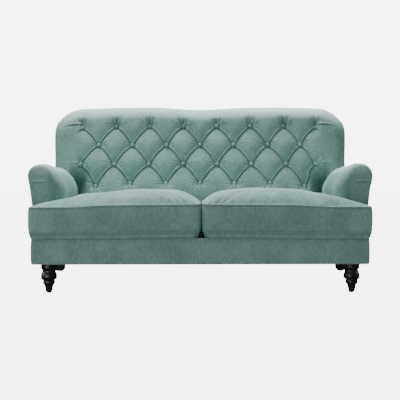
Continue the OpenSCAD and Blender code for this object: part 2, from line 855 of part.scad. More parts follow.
module leg_bolts() {
  top = rail_top + seat + spring_wire;
  color(steel)
    both() {
      translate([front_leg_x, front_leg_y, leg_top - bolt_len + 1])
        cylinder(h = top - leg_top + bolt_len - 1, r = bolt_r);
      translate([rear_bolt_x, rear_leg_y, leg_top - bolt_len + 1])
        cylinder(h = 2 * bolt_len - 6, r = bolt_r);
    }
}

// Nut on each front bolt, on top of its corner block
module leg_nuts() {
  color(steel)
    both()
      translate([front_leg_x, front_leg_y, rail_top + seat])
        difference() {
          cylinder(h = spring_wire, r = 8, $fn = 6);
          translate([0, 0, -1]) cylinder(h = spring_wire + 2, r = bolt_r + bolt_clear);
        }
}

module leg_glides() {
  color("dimgray")
    both() {
      translate([front_leg_x, front_leg_y, 0])
        cylinder(h = glide_t - 0.02, r = front_leg_r * leg_profile[0][0] - 1, $fn = 12);
      translate([rear_foot_x, rear_foot_y, 0])
        cylinder(h = glide_t - 0.02, r = rear_foot_w / 2 - 8, $fn = 12);
    }
}

// Seat cushions

cush_x0 = boxing_swell + 2;
cush_x1 = arm_in - cushion_clear - boxing_swell;
cush_x2 = half_w + wing_past_base - boxing_swell;
cush_y0 = front_y + boxing_swell;
cush_y1 = front_y + wing_d - boxing_swell;
cush_y2 = seat_back_y - 8 - boxing_swell;
corner_r = 26;
inner_r = 14;

// Points of one side between two corners, drawn in towards its middle by a vector
function drawn_side(a, b, pull, n) = [
  for (i = [1:n - 1]) let (t = i / n) lerp(a, b, t) + pull * sin(180 * t)
];
function turn(cx, cy, r, a0, a1) = arc_pts(cx, cy, r, a0, a1, 3);

// Outline of the seam, clockwise from the inner rear corner, seen from above
seam_outline = concat(
  turn(cush_x1 - corner_r, cush_y2 - corner_r, corner_r, 90, 0),
  drawn_side([cush_x1, cush_y2 - corner_r], [cush_x1, cush_y1 + inner_r], [0, 0], 9),
  turn(cush_x1 + inner_r, cush_y1 + inner_r, inner_r, 180, 270),
  drawn_side([cush_x1 + inner_r, cush_y1], [cush_x2 - corner_r, cush_y1], [0, 0], 3),
  turn(cush_x2 - corner_r, cush_y1 - corner_r, corner_r, 90, 0),
  turn(cush_x2 - corner_r, cush_y0 + corner_r, corner_r, 0, -90),
  drawn_side([cush_x2 - corner_r, cush_y0], [cush_x0 + corner_r, cush_y0], [0, draw_in], 16),
  turn(cush_x0 + corner_r, cush_y0 + corner_r, corner_r, 270, 180),
  drawn_side([cush_x0, cush_y0 + corner_r], [cush_x0, cush_y2 - corner_r], [draw_in / 2, 0], 12),
  turn(cush_x0 + corner_r, cush_y2 - corner_r, corner_r, 180, 90),
  drawn_side([cush_x0 + corner_r, cush_y2], [cush_x1 - corner_r, cush_y2], [0, 0], 13)
);

// The rings of the top and underside shrink towards a place that every side faces
cush_mid = [lerp(cush_x0, cush_x1, 0.5), lerp(cush_y0, cush_y1, 0.55)];

// Share of the full crown at a point of the top: it swells up steeply behind the front
// seam and beside the middle, and falls away along the wing
function rise(d, reach) = 1 - exp(-max(0, d) / reach);
function crown_share(x, y) = let (
    along = sin(90 * min(1, max(0, (cush_x2 - x) / 380))),
    beside_x = max(0, cush_x1 - x) / 30,
    beside_y = max(0, cush_y1 - y) / 12
  ) rise(x - cush_x0, 55) * rise(y - cush_y0, 35) * rise(cush_y2 - y, 60) * along
    * (1 - exp(-norm([beside_x, beside_y])));

ring_n = 7;
function toward(p, share) = lerp(p, cush_mid, share);
function top_ring(share) = [
  for (p = seam_outline) let (q = toward(p, share))
    [q[0], q[1], upper_seam_z + (share == 0 ? 0 : crown_h * crown_share(q[0], q[1]))]
];
function swollen(p, i, d) = let (
    n = len(seam_outline), a = seam_outline[(i + n - 1) % n], b = seam_outline[(i + 1) % n], t = unit(b - a)
  ) [p[0] - t[1] * d, p[1] + t[0] * d];
function side_ring(t) = [
  for (i = [0:len(seam_outline) - 1])
    let (q = swollen(seam_outline[i], i, boxing_swell * sin(180 * t)))
      [q[0], q[1], lerp(lower_seam_z, upper_seam_z, t)]
];
function belly_ring(share) = [
  for (p = seam_outline) let (q = toward(p, share))
    [q[0], q[1], lower_seam_z - belly_h * sin(90 * min(1, share / 0.16))]
];

module cushion_form() {
  top = upper_seam_z + crown_h * crown_share(cush_mid[0], cush_mid[1]);
  skin(
    concat(
      [for (s = [0.3, 0.16, 0.08]) belly_ring(s)],
      [side_ring(0), side_ring(0.5)],
      [for (i = [0:ring_n - 1]) top_ring(pow(i / ring_n, 1.4))]
    ),
    [[cush_mid[0], cush_mid[1], deck_z + seat], [cush_mid[0], cush_mid[1], top]]
  );
}

core_in = 42;
core_gap = 0.5;
// L-shaped space of the foam core, drawn in from the seams
module core_plan(d) {
  e = core_in + d;
  polygon([
    [cush_x0 + e, cush_y0 + e], [cush_x2 - e, cush_y0 + e], [cush_x2 - e, cush_y1 - e / 2],
    [cush_x1 - e, cush_y1 - e / 2], [cush_x1 - e, cush_y2 - e], [cush_x0 + e, cush_y2 - e]
  ]);
}

module cushion_cover() {
  color(cover_green)
    difference() {
      cushion_form();
      translate([0, 0, lower_seam_z]) linear_extrude(boxing_h) core_plan(0);
    }
}

module left_cushion_cover() { mirror([1, 0, 0]) cushion_cover(); }
module right_cushion_cover() { cushion_cover(); }

module cushion_core() {
  color(foam_white)
    translate([0, 0, lower_seam_z + core_gap])
      linear_extrude(boxing_h - 2 * core_gap) core_plan(core_gap);
}

module left_cushion_core() { mirror([1, 0, 0]) cushion_core(); }
module right_cushion_core() { cushion_core(); }

// Zip along the rear boxing, and its slider parked at the inner end
zip_mid = lerp(cush_x0, cush_x1, 0.5);
zip_y = cush_y2 + boxing_swell + seat;
zip_z = lerp(lower_seam_z, upper_seam_z, 0.5);
zip_w = 24;
zip_t = 1;
module zip_tape() {
  color("darkslategray")
    union() {
      box([zip_mid - zip_l / 2, zip_y, zip_z - zip_w / 2],
          [zip_mid + zip_l / 2, zip_y + zip_t, zip_z + zip_w / 2]);
      box([zip_mid - zip_l / 2, zip_y + zip_t, zip_z - 2.5],
          [zip_mid + zip_l / 2, zip_y + 2 * zip_t, zip_z + 2.5]);
    }
}

module left_zip_tape() { mirror([1, 0, 0]) zip_tape(); }
module right_zip_tape() { zip_tape(); }

slider_l = 11;
module zip_slider() {
  x = zip_mid - zip_l / 2 + 4;
  y = zip_y + 2 * zip_t + seat;
  color(steel)
    union() {
      box([x, y, zip_z - 4], [x + slider_l, y + 2, zip_z + 4]);
      difference() {
        box([x + 2, y + 1.2, zip_z - 26], [x + slider_l - 2, y + 2.4, zip_z - 3]);
        translate([x + slider_l / 2, y, zip_z - 22]) rotate([-90, 0, 0]) cylinder(h = 4, r = 1.6);
      }
    }
}

module left_zip_slider() { mirror([1, 0, 0]) zip_slider(); }
module right_zip_slider() { zip_slider(); }

front_rail();
rear_rail();
left_side_rail();
right_side_rail();
spring_rail();
seat_stretcher();
corner_blocks();
left_back_post();
right_back_post();
back_top_rail();
back_lower_rail();
back_uprights();
post_bolts();
left_arm_stump();
right_arm_stump();
left_arm_rail();
right_arm_rail();
left_arm_tack_rail();
right_arm_tack_rail();
seat_springs();
spring_clips();
spring_insulator();
seat_deck();
back_webbing();
back_pad();
back_buttons();
button_twines();
outside_back();
left_arm_pad();
right_arm_pad();
left_arm_front();
right_arm_front();
left_outside_arm();
right_outside_arm();
front_border();
dust_cover();
left_front_leg();
right_front_leg();
left_rear_leg();
right_rear_leg();
leg_bolts();
leg_nuts();
leg_glides();
left_cushion_cover();
right_cushion_cover();
left_cushion_core();
right_cushion_core();
left_zip_tape();
right_zip_tape();
left_zip_slider();
right_zip_slider();
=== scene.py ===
"""A two-seat sofa with a deep-buttoned back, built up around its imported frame, in metres."""
import math

import bmesh
import bpy
import numpy as np
from mathutils.kdtree import KDTree
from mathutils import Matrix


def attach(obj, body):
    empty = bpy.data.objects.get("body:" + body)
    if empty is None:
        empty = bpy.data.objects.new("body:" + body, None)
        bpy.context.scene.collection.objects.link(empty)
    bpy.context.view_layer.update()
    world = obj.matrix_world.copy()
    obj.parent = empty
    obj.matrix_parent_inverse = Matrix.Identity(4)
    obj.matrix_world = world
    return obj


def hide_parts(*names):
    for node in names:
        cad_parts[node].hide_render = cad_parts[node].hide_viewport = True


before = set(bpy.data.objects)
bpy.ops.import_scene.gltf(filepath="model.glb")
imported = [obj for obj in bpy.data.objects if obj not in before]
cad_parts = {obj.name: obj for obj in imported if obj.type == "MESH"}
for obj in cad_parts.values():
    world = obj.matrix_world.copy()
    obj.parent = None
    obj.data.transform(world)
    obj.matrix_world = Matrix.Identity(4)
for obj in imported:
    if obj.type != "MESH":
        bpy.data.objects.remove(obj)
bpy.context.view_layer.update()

# The studio: a plain pale floor whose far rim turns up into a wall, one large soft light above
# and behind the seat, and weak ones at both sides and low in front. The camera stands level,
# 4.5 m in front of the middle.
EYE = (0.0, -4.5, 0.705)
LENS = 75.15
SENSOR = 36
HORIZON_SHIFT = -0.125
CAMERA_ROLL = 0.0019
FLOOR_R, WALL_BEND, WALL_TOP = 11.0, 1.5, 9.0
FLOOR_GLOW = 6.0
WORLD_LIGHT = 0.42


def quads(rows, cols, around=False):
    """Faces of a grid of rows x cols points, whose columns close into a ring if around."""
    i, j = np.meshgrid(np.arange(rows - 1), np.arange(cols if around else cols - 1), indexing="ij")
    k = (j + 1) % cols
    return np.stack([i * cols + j, i * cols + k, (i + 1) * cols + k, (i + 1) * cols + j], -1).reshape(-1, 4)


def placed(name, data):
    """Object of a mesh, a light or a camera, at the origin."""
    piece = bpy.data.objects.new(name, data)
    bpy.context.scene.collection.objects.link(piece)
    return piece


def mesh_object(name, points, faces, closed=True):
    """Object at the origin with the given points and faces (arrays of corner numbers). The
    faces of a closed piece are turned to point outwards."""
    mesh = bpy.data.meshes.new(name)
    corners = [face for group in faces for face in np.asarray(group).tolist()]
    mesh.from_pydata(np.reshape(points, (-1, 3)).tolist(), [], corners)
    if closed:
        shape = bmesh.new()
        shape.from_mesh(mesh)
        bmesh.ops.recalc_face_normals(shape, faces=shape.faces)
        shape.to_mesh(mesh)
        shape.free()
    mesh.polygons.foreach_set("use_smooth", [True] * len(mesh.polygons))
    return placed(name, mesh)


def studio_floor():
    """A disc, then its rim on a quarter circle, then a wall: radius and height are
    FLOOR_R + WALL_BEND x sine and WALL_BEND x (1 - cosine) of the turn."""
    turn = np.linspace(0, math.pi / 2, 24)
    radius = np.append(FLOOR_R + WALL_BEND * np.sin(turn), FLOOR_R + WALL_BEND)
    height = np.append(WALL_BEND - WALL_BEND * np.cos(turn), WALL_TOP)
    angle = np.linspace(0, 2 * math.pi, 96, endpoint=False)
    rows, cols = len(radius), len(angle)
    points = np.stack([radius[:, None] * np.cos(angle), radius[:, None] * np.sin(angle),
                       np.broadcast_to(height[:, None], (rows, cols))], -1)
    return mesh_object("studio_floor", points, [quads(rows, cols, around=True), np.arange(cols)[None]],
                       closed=False)


def area_light(name, place, aim, size, watts):
    """Soft rectangle of light at a place, turned towards its aim."""
    lamp = bpy.data.lights.new(name, "AREA")
    lamp.shape = "RECTANGLE"
    lamp.size, lamp.size_y = size
    lamp.energy = watts
    piece = placed(name, lamp)
    away = np.subtract(place, aim)
    piece.location = place
    piece.rotation_euler = (math.acos(away[2] / np.linalg.norm(away)), 0, math.atan2(away[0], -away[1]))


def rgba(colour):
    return colour if isinstance(colour, Wire) else (*colour, 1.0)


def paint(r, g, b):
    """Colour as it is seen, in parts of 255, turned into the linear light of a shader."""
    seen = np.array([r, g, b]) / 255
    return tuple(float(c) for c in np.where(seen > 0.04045, ((seen + 0.055) / 1.055) ** 2.4, seen / 12.92))


class Wire:
    """An output socket of a material's nodes. Sums and products on it add Math nodes."""

    def __init__(self, finish, socket):
        self.finish = finish
        self.socket = socket

    def out(self, name):
        """Another output of the same node."""
        return Wire(self.finish, self.socket.node.outputs[name])

    def math(self, operation, *values):
        return self.finish.node("Math", {"operation": operation}, dict(enumerate(values)))

    def __add__(self, other):
        return self.math("ADD", self, other)

    def __radd__(self, other):
        return self.math("ADD", other, self)

    def __sub__(self, other):
        return self.math("SUBTRACT", self, other)

    def __rsub__(self, other):
        return self.math("SUBTRACT", other, self)

    def __mul__(self, other):
        return self.math("MULTIPLY", self, other)

    def __rmul__(self, other):
        return self.math("MULTIPLY", other, self)


class Finish:
    """A material while its nodes are laid."""

    def __init__(self, name):
        self.material = bpy.data.materials.new(name)
        self.material.use_nodes = True
        self.tree = self.material.node_tree
        self.tree.nodes.clear()

    def node(self, kind, settings=None, inputs=None):
        """Adds a shader node: its settings first, then the values or wires of its sockets."""
        node = self.tree.nodes.new("ShaderNode" + kind)
        for key, value in (settings or {}).items():
            setattr(node, key, value)
        for key, value in (inputs or {}).items():
            named = [s for s in node.inputs if s.enabled and s.name == key]
            socket = node.inputs[key] if isinstance(key, int) else named[0]
            if isinstance(value, Wire):
                self.tree.links.new(value.socket, socket)
            else:
                socket.default_value = value
        return Wire(self, next((s for s in node.outputs if s.enabled), None))

    def place(self):
        """Where a point lies on the object."""
        return self.node("TexCoord").out("Object")

    def ramp(self, value, stops):
        """Colour ramp through (place, colour) stops."""
        made = self.node("ValToRGB", None, {"Fac": value})
        band = made.socket.node.color_ramp
        while len(band.elements) < len(stops):
            band.elements.new(0.5)
        for element, (place, colour) in zip(band.elements, stops):
            element.position = place
            element.color = rgba(colour)
        return made

    def mix(self, share, one, other):
        """Two colours mixed by a share."""
        return self.node("Mix", {"data_type": "RGBA"}, {"Factor": share, "A": rgba(one), "B": rgba(other)})

    def stretched(self, place, scale):
        """The place with x, y and z multiplied, so that a pattern on it is drawn out."""
        return self.node("Mapping", {"vector_type": "POINT"}, {"Vector": place, "Scale": scale})

    def noise(self, place, scale, detail=2.0, rough=0.5, warp=0.0):
        """Cloudy value from 0 to 1, whose spots are about 1 / scale wide."""
        return self.node("TexNoise", {"noise_dimensions": "3D"}, {
            "Vector": place, "Scale": scale, "Detail": detail, "Roughness": rough, "Distortion": warp})

    def level(self, value, low, high, to_low=0.0, to_high=1.0):
        """Value led smoothly from low..high to to_low..to_high, and held there."""
        return self.node("MapRange", {"interpolation_type": "SMOOTHSTEP"}, {
            "Value": value, "From Min": low, "From Max": high, "To Min": to_low, "To Max": to_high})

    def surface(self, colour, rough, height=None, depth=0.001, others=None):
        """Ends the material in one Principled shader, bumped by a height in units of depth."""
        inputs = {"Base Color": rgba(colour), "Roughness": rough, **(others or {})}
        if height is not None:
            inputs["Normal"] = self.node("Bump", None, {"Height": height, "Distance": depth, "Strength": 1.0})
        self.node("OutputMaterial", None, {"Surface": self.node("BsdfPrincipled", None, inputs)})
        return self.material


def floor_finish():
    """Matt studio paper, a shade off white with a faint mottle."""
    f = Finish("studio_paper")
    tone = f.level(f.noise(f.place(), 1.5, 3), 0.3, 0.7)
    return f.surface(f.mix(tone, paint(249, 249, 249), paint(252, 252, 252)), 0.9, others={
        "Emission Color": (1, 1, 1, 1), "Emission Strength": FLOOR_GLOW})


floor = studio_floor()
floor.data.materials.append(floor_finish())
floor.visible_diffuse = floor.visible_glossy = False

world = bpy.data.worlds.new("studio")
bpy.context.scene.world = world
world.use_nodes = True
world.node_tree.nodes["Background"].inputs["Color"].default_value = (1, 1, 1, 1)
world.node_tree.nodes["Background"].inputs["Strength"].default_value = WORLD_LIGHT
world.cycles_visibility.glossy = False  # keeps the black lacquer black
area_light("top_light", (-0.04, 0.60, 3.0), (0, 0.48, 0.4), (3.8, 0.9), 235)
area_light("left_light", (-3.2, -0.45, 1.4), (0, 0, 0.6), (2.0, 1.6), 14)
area_light("front_light", (-1.9, -3.6, 0.5), (-0.4, 0, 0.3), (1.9, 1.3), 22)
area_light("right_light", (3.2, -0.1, 1.4), (0, 0, 0.6), (2.0, 1.6), 6)

camera = placed("camera", bpy.data.cameras.new("camera"))
camera.location = EYE
camera.rotation_euler = (math.pi / 2, CAMERA_ROLL, 0)
camera.data.lens = LENS
camera.data.sensor_width = SENSOR
camera.data.shift_y = HORIZON_SHIFT
bpy.context.scene.camera = camera


# The cover cloth: a duck-egg blue chenille with a short brushed pile. Its thick yarns run up
# the faces as fine slubs and the pile lies in soft patches. Painted shade darkens it in folds,
# creases and hollows, and painted highlight lightens its upper rolls and lips. Every cloth piece
# carries its place in the cloth, in metres.
COVER_LIGHT = paint(136, 172, 165)
COVER_MID = paint(120, 156, 149)
COVER_DARK = paint(104, 139, 132)
# the next colour is painted shade, the one after it painted highlight
COVER_PAINTED_SHADE = paint(36, 62, 56)
COVER_PAINTED_LIGHT = paint(184, 214, 207)
PILE = 0.0012


def lay_cloth(piece, across, along, fold=0.0):
    """Gives a piece its place in the cloth, and its painted shade at each point: from 1, dark with
    painted shade deep in a fold, to -1, pale with painted highlight."""
    across = np.ravel(across)
    place = np.stack([across, np.ravel(along), np.zeros(len(across))], -1)
    painted_share = np.clip(np.ravel(fold), -1, 1) * np.ones(len(across))
    piece.data.attributes.new("cloth", "FLOAT_VECTOR", "POINT").data.foreach_set("vector", place.ravel())
    piece.data.attributes.new("fold", "FLOAT", "POINT").data.foreach_set("value", painted_share)


def chenille(name, light, mid, dark, in_fold, highlight_colour):
    """Pile cloth: soft patches of pile, crushed spots about 13 mm wide, slubs of 2 x 16 mm along
    the warp, and a weave of 1 mm cords in the bump. The painted shade attribute mixes in painted
    shade where it is above 0 and painted highlight where it is below 0."""
    f = Finish(name)
    cloth = f.node("Attribute", {"attribute_name": "cloth"}).out("Vector")
    fold = f.node("Attribute", {"attribute_name": "fold"}).out("Fac")
    patch = f.noise(f.stretched(cloth, (1, 0.8, 1)), 9, 2)
    crush = f.noise(f.stretched(cloth, (1, 0.5, 1)), 75, 3, 0.6)
    slub = f.noise(f.stretched(cloth, (430, 62, 1)), 1, 2, 0.6)
    cord = f.noise(f.stretched(cloth, (1300, 420, 1)), 1, 1)
    tone = patch * 0.35 + crush * 0.35 + slub * 0.30
    body = f.ramp(f.level(tone, 0.30, 0.70), [(0.0, dark), (0.5, mid), (1.0, light)])
    body = f.mix(f.level(slub, 0.52, 0.72) * 0.32, body, light)
    body = f.mix(f.level(slub, 0.30, 0.46, 1, 0) * 0.30, body, dark)
    # painted shade where the attribute is above 0, painted highlight where it is below 0
    body = f.mix(fold.math("MAXIMUM", fold, 0.0), body, in_fold)
    body = f.mix(fold.math("MAXIMUM", fold * -1.0, 0.0), body, highlight_colour)
    height = slub * 0.5 + cord * 0.3 + crush * 1.2
    return f.surface(body, f.level(tone, 0.3, 0.7, 0.86, 0.74), height, PILE, {
        "Sheen Weight": 0.08, "Sheen Roughness": 0.45, "Sheen Tint": (0.72, 0.92, 0.88, 1),
        "Specular IOR Level": 0.18})


cover = chenille("cover_chenille", COVER_LIGHT, COVER_MID, COVER_DARK, COVER_PAINTED_SHADE, COVER_PAINTED_LIGHT)


# Inside back: fibre over foam, pulled through to the webbing at thirty buttons. Between the
# buttons the cloth is folded into diamonds, whose upper edges rise like pointed arches. The
# pad rolls over the sides and the top of the back, and ends at the outside back.
BASE_LOW = 0.145
BACK_HALF = 0.821
FLARE = 0.0125
BACK_TOP = 0.950
BACK_LOW = 0.2653
SEAM_HEIGHT = 0.4243
BACK_FACE = 0.135
LEAN = math.tan(math.radians(14))
ROLL = 0.070
CORNER = 0.146
HUMP, HUMP_X = 0.012, 0.275
REAR_LOW, REAR_SLOPE = 0.3887, 0.0735
REAR_TOP = 0.450
PITCH, ROW = 0.190, 0.108
TOP_ROW = 0.843
LOW_ROW = TOP_ROW - 3 * ROW
END_BUTTON = 3.5 * PITCH
ARCH = 0.008
FOLD_GAP = 0.143
FOLD_SHARP, FOLD_ROUND, CONE = 0.004, 0.0125, 0.007
GROOVE, LIP = 0.0042, 0.0044
FAN, FAN_STROKE, THROAT = 0.0070, 0.0010, 0.0030
CREASE, CREST, HANG = 0.0024, 0.0016, 0.0025
PULL = 0.004
CREVICE = 0.055
CLOTH_STEP = 0.0028
RINGS = {"band": 0.11, "rear": 0.06, "tail": 0.02, "step": 0.008}
UNDER = 0.10


def smooth(t):
    """0 below t = 0, 1 above t = 1, and 3t^2 - 2t^3 between them."""
    t = np.clip(t, 0, 1)
    return t * t * (3 - 2 * t)


def bell(t):
    """1 at t = 0, falling off on both sides as exp(-t^2)."""
    return np.exp(-t ** 2)


def lerp(a, b, t):
    """a at t = 0, b at t = 1, and straight on between and beyond."""
    return a + (b - a) * t


def rear_line(z):
    """Depth of the frame's rear at a height: it leans back evenly."""
    return REAR_LOW + REAR_SLOPE * (z - BASE_LOW)


def back_face(z):
    """Depth of the unbuttoned face at a height: upright behind the cushions, then leaning."""
    knee = 0.02
    return BACK_FACE + LEAN * knee * np.log1p(np.exp(np.clip((z - SEAM_HEIGHT) / knee, -30, 30)))


def sewn(i, j):
    """True where the lattice lines i and j cross at a button."""
    row = j - i
    return (row >= 0) & (row <= 3) & (np.abs(i + j + 1) <= np.where(row % 2 == 0, 7, 6))


def stray(x, z):
    """How far the buttons near the sides lie from an even lattice: outwards in the lower rows,
    inwards at the right-hand ends, and down at the ends of the first and of the last row."""
    side = np.abs(x)
    low = np.clip((TOP_ROW - z) / (3 * ROW), 0, 1)
    out = 0.015 * smooth((side - 0.10) / 0.40) * low ** 1.3
    down = (0.008 * smooth((side - 0.52) / 0.12) * bell((z - TOP_ROW) / 0.05)
            + 0.015 * smooth((side - 0.42) / 0.13) * smooth((low - 0.78) / 0.2))
    third = bell((z - TOP_ROW + 2 * ROW) / 0.05)
    drawn_in = (0.012 + 0.012 * third) * smooth((side - 0.49) / 0.14) * (1 - smooth((low - 0.76) / 0.16))
    return out - np.where(x > 0, drawn_in, 0), down


def tufting(x, z):
    """Depth of the folds at a place of the flat cloth, its painted shade, and how far the cloth
    is pulled up or down. Diagonal lines cross at the buttons; f and g are a diamond's two
    coordinates, and q = 4f(1-f) x 4g(1-g) is 0 along the folds and 1 in the middle. The depth
    is a power of q, a cone at each button, a narrow groove under each fold and the rounded lip
    of the pleat above it, all less above the top row and below the last. To this come bells:
    a fan and a throat over the top row's buttons, ripples and swept strokes beside the others,
    upright creases above the top row, and folds that hang from the last one. Painted shade
    darkens the grooves, the rings round the buttons, the fans, throats, creases and ripples,
    and painted highlight lightens the lips and crests."""
    out, down = stray(x, z)
    out, down = stray(x - np.sign(x) * out, z + down)
    side = np.abs(x) - out
    z = z + down
    u = side / PITCH - 0.5
    v = (z - TOP_ROW - ARCH * np.sin(2 * np.pi * side / PITCH) ** 2) / (2 * ROW)
    a, b = u + v, u - v
    i, j = np.floor(a).astype(int), np.floor(b).astype(int)
    f, g = a - i, b - j
    low_a = sewn(i, j) & sewn(i, j + 1)
    high_a = sewn(i + 1, j) & sewn(i + 1, j + 1)
    low_b = sewn(i, j) & sewn(i + 1, j)
    high_b = sewn(i, j + 1) & sewn(i + 1, j + 1)
    across = np.where(np.where(f < 0.5, low_a, high_a), 4 * f * (1 - f), 1.0)
    along = np.where(np.where(g < 0.5, low_b, high_b), 4 * g * (1 - g), 1.0)
    above = smooth((z - TOP_ROW) / 0.07)
    below = smooth((LOW_ROW - z) / 0.05)
    q = lerp(across * along, 1.0, np.maximum(above, below))

    # the nearest crossing, whether a button sits there, and the place seen from it
    ia, jb = np.round(a), np.round(b)
    at_x = ((ia + jb) / 2 + 0.5) * PITCH
    at_z = TOP_ROW + (ia - jb) * ROW
    real = sewn(ia.astype(int), jb.astype(int))
    dx, dz = side - at_x, z - at_z
    near, turn = np.hypot(dx, dz), np.arctan2(dz, dx)
    cone = real * np.exp(-(near / 0.020) ** 1.6)
    ring = real * bell((near - 0.0145) / 0.0028)

    # the grooves and lips along the folds, which end at the outermost buttons
    end = 1 - smooth((side - END_BUTTON + 0.004) / 0.008)
    here = smooth((near - 0.008) / 0.016) * (1 - above) * (1 - below) * end
    over_fold = np.minimum(np.where(low_a, f, 1), np.where(high_b, 1 - g, 1)) * FOLD_GAP
    under_fold = np.minimum(np.where(high_a, 1 - f, 1), np.where(low_b, g, 1)) * FOLD_GAP
    lip = bell((over_fold - 0.0055) / 0.0032) * here
    groove = (bell(under_fold / 0.0042) + bell(over_fold / 0.0022)) * here

    # the fan of gathers and the throat above each button of the top row
    row_one = real & (np.abs(at_z - TOP_ROW) < 0.01)
    over_one = row_one & (dz > 0)
    rise_z = np.maximum(dz, 0)
    spread = 0.010 + 0.48 * rise_z
    fan = over_one * bell((rise_z - 0.030) / 0.019) * np.exp(-(dx / spread) ** 4)
    strokes = np.cos(7.5 * dx / spread + 0.8 * np.sin(3 * at_x / PITCH))
    throat = (over_one * smooth(rise_z / 0.012) * bell(np.maximum(rise_z - 0.012, 0) / 0.025)
              * bell(dx / (0.004 + 0.50 * rise_z)))

    # small ripples at the buttons, each with a phase of its own
    phase = 1.7 * ia + 2.3 * jb + 0.9 * np.sign(x)
    feet = real * bell((near - 0.034) / 0.016) * np.abs(np.cos(turn)) ** 1.5 * (1 - fan)
    feet = feet * np.where(row_one, 1 - smooth((side - END_BUTTON) / 0.008), 1)
    swept = (real & (dx > 0) & (side < 3.4 * PITCH)) * bell((near - 0.038) / 0.019) * bell((turn - 0.42) / 0.36)
    ripple = (feet * (0.0009 * np.sin(13 * turn + phase) + 0.0006 * np.sin(21 * turn - 2 * phase))
              + 0.0025 * swept * np.sin(17 * turn + 40 * near + phase))

    # upright creases above the top row, and folds that hang from the last one
    upright = (u - np.round(u)) * PITCH
    creased = (np.abs(u) < 3.6) * above
    crease = bell(upright / 0.004) * creased
    crest = bell(upright / 0.0035 - 2.1) * creased
    hang = (real & (at_z < LOW_ROW + 0.1 * ROW) & (dz < 0)) * bell(dx / 0.0045) * bell(dz / 0.05)

    depth = (FOLD_SHARP * (1 - q ** 0.4) + FOLD_ROUND * (1 - q ** 0.95) + CONE * cone
             + GROOVE * groove - LIP * lip + fan * (FAN + FAN_STROKE * strokes) + THROAT * throat + ripple
             + CREASE * crease - CREST * crest - HANG * hang)
    # painted shade in the grooves, round the buttons, in fans, throats, creases and ripples; painted highlight
    # on lips and crests
    fold = (0.26 * groove + 0.40 * ring + fan * (0.14 + 0.14 * strokes) + 0.50 * throat + 0.10 * crease
            + np.maximum(0, ripple) * 110 + 0.10 * (1 - q) ** 3 - 0.34 * lip - 0.30 * crest)
    pull = PULL * (1 - q ** 0.35) * (1 - cone)
    return depth, fold, pull


def side_folds(x, z):
    """Folds that run out from the outermost buttons to the sides: the uppermost curves down
    round the shoulder, the other is short and nearly level. Each is a bell-shaped groove along
    a parabola, with a bell-shaped lip above it."""
    dark, lip = 0, 0
    for edge, height, (slope, bend), reach, share in (
            (END_BUTTON, TOP_ROW + 0.004, (0.16, -2.6), 0.125, 1.0),
            (END_BUTTON + 0.012, TOP_ROW - 2 * ROW + 0.002, (-0.05, -0.5), 0.085, 0.45)):
        out = np.abs(x) - edge
        line = height + slope * out + bend * out ** 2
        along = smooth((reach - out) / (0.8 * reach)) * smooth(out / 0.014) * share
        dark = dark + bell((z - line) / 0.0042) * along
        lip = lip + bell((z - line - 0.008) / 0.0045) * along
    return dark, lip


def crevice(x, z):
    """Share of the hollow where the pad falls back between the arm and the outermost button."""
    x = np.abs(x)
    return smooth((x - 0.602) / 0.080) * smooth((0.745 - x) / 0.045) * smooth((0.628 - z) / 0.11)


def hump(x):
    """Drop of the top line below its humps: a cosine between them, a parabola outside."""
    x = np.abs(x)
    return np.where(x < HUMP_X, HUMP / 2 * (1 + np.cos(np.pi * x / HUMP_X)),
                    HUMP * ((x - HUMP_X) / (BACK_HALF - HUMP_X)) ** 2)


def back_pad_points(x_flat, z_flat):
    """Places of a flat cloth (x_flat, z_flat) laid over the pad. A point past the flat face
    turns back on a quarter circle of radius ROLL, then runs straight to the rear, turns in on a
    smaller circle and is tucked under, each over the length that RINGS gives. At the upper
    corners the rings are arcs about the centre of the corner."""
    half, top = BACK_HALF - ROLL, BACK_TOP - ROLL
    reach = CORNER - ROLL
    past_x, past_z = np.abs(x_flat) - half, z_flat - top
    p, q = past_x + reach, past_z + reach
    corner = (p > 0) & (q > 0)
    safe_p, safe_q = np.where(corner, p, 1.0), np.where(corner, q, 1.0)
    angle = np.where(safe_p >= safe_q, np.pi / 4 * safe_q / safe_p, np.pi / 2 - np.pi / 4 * safe_p / safe_q)
    beyond = np.maximum(past_x, past_z)
    upward = np.where(corner, angle / (np.pi / 2), (past_z > past_x).astype(float))
    turn = np.clip(beyond / ROLL, 0, np.pi / 2)
    out, back = ROLL * np.sin(turn), ROLL * (1 - np.cos(turn))

    left, shares = beyond - ROLL * np.pi / 2, []
    for length in RINGS.values():
        shares.append(np.clip(left / length, 0, 1))
        left = left - length
    band, rear, tail, step = shares
    rear_roll = lerp(0.022, 0.066, smooth(upward))
    inward = rear_roll * (1 - np.cos(rear * np.pi / 2)) + lerp(0.012, 0.022, smooth(upward)) * tail

    radius = np.where(beyond <= 0, np.maximum(p, q), reach + out - inward)
    at_side = past_x >= past_z
    x_plain = np.where((beyond > 0) & at_side, half + out - inward, np.abs(x_flat))
    z_plain = np.where((beyond > 0) & ~at_side, top + out - inward, z_flat)
    x = np.where(corner, BACK_HALF - CORNER + radius * np.cos(angle), x_plain)
    z = np.where(corner, BACK_TOP - CORNER + radius * np.sin(angle), z_plain)
    x = x * (1 + FLARE / BACK_HALF * smooth((z - 0.60) / 0.20) * (x / BACK_HALF) ** 6)
    z = z - hump(x) * smooth((z - TOP_ROW) / (top - TOP_ROW + 0.03))

    wall = lerp(rear_line(z) - 0.004, REAR_TOP - 0.001, smooth(upward * 1.4) * smooth((z - 0.70) / 0.14))
    front = back_face(z) + back
    y = (front + (np.maximum(wall - rear_roll, front) - front) * band
         + rear_roll * np.sin(rear * np.pi / 2) * (front < wall) - 0.016 * step)
    return np.sign(x_flat) * x, y, z, beyond, upward, turn


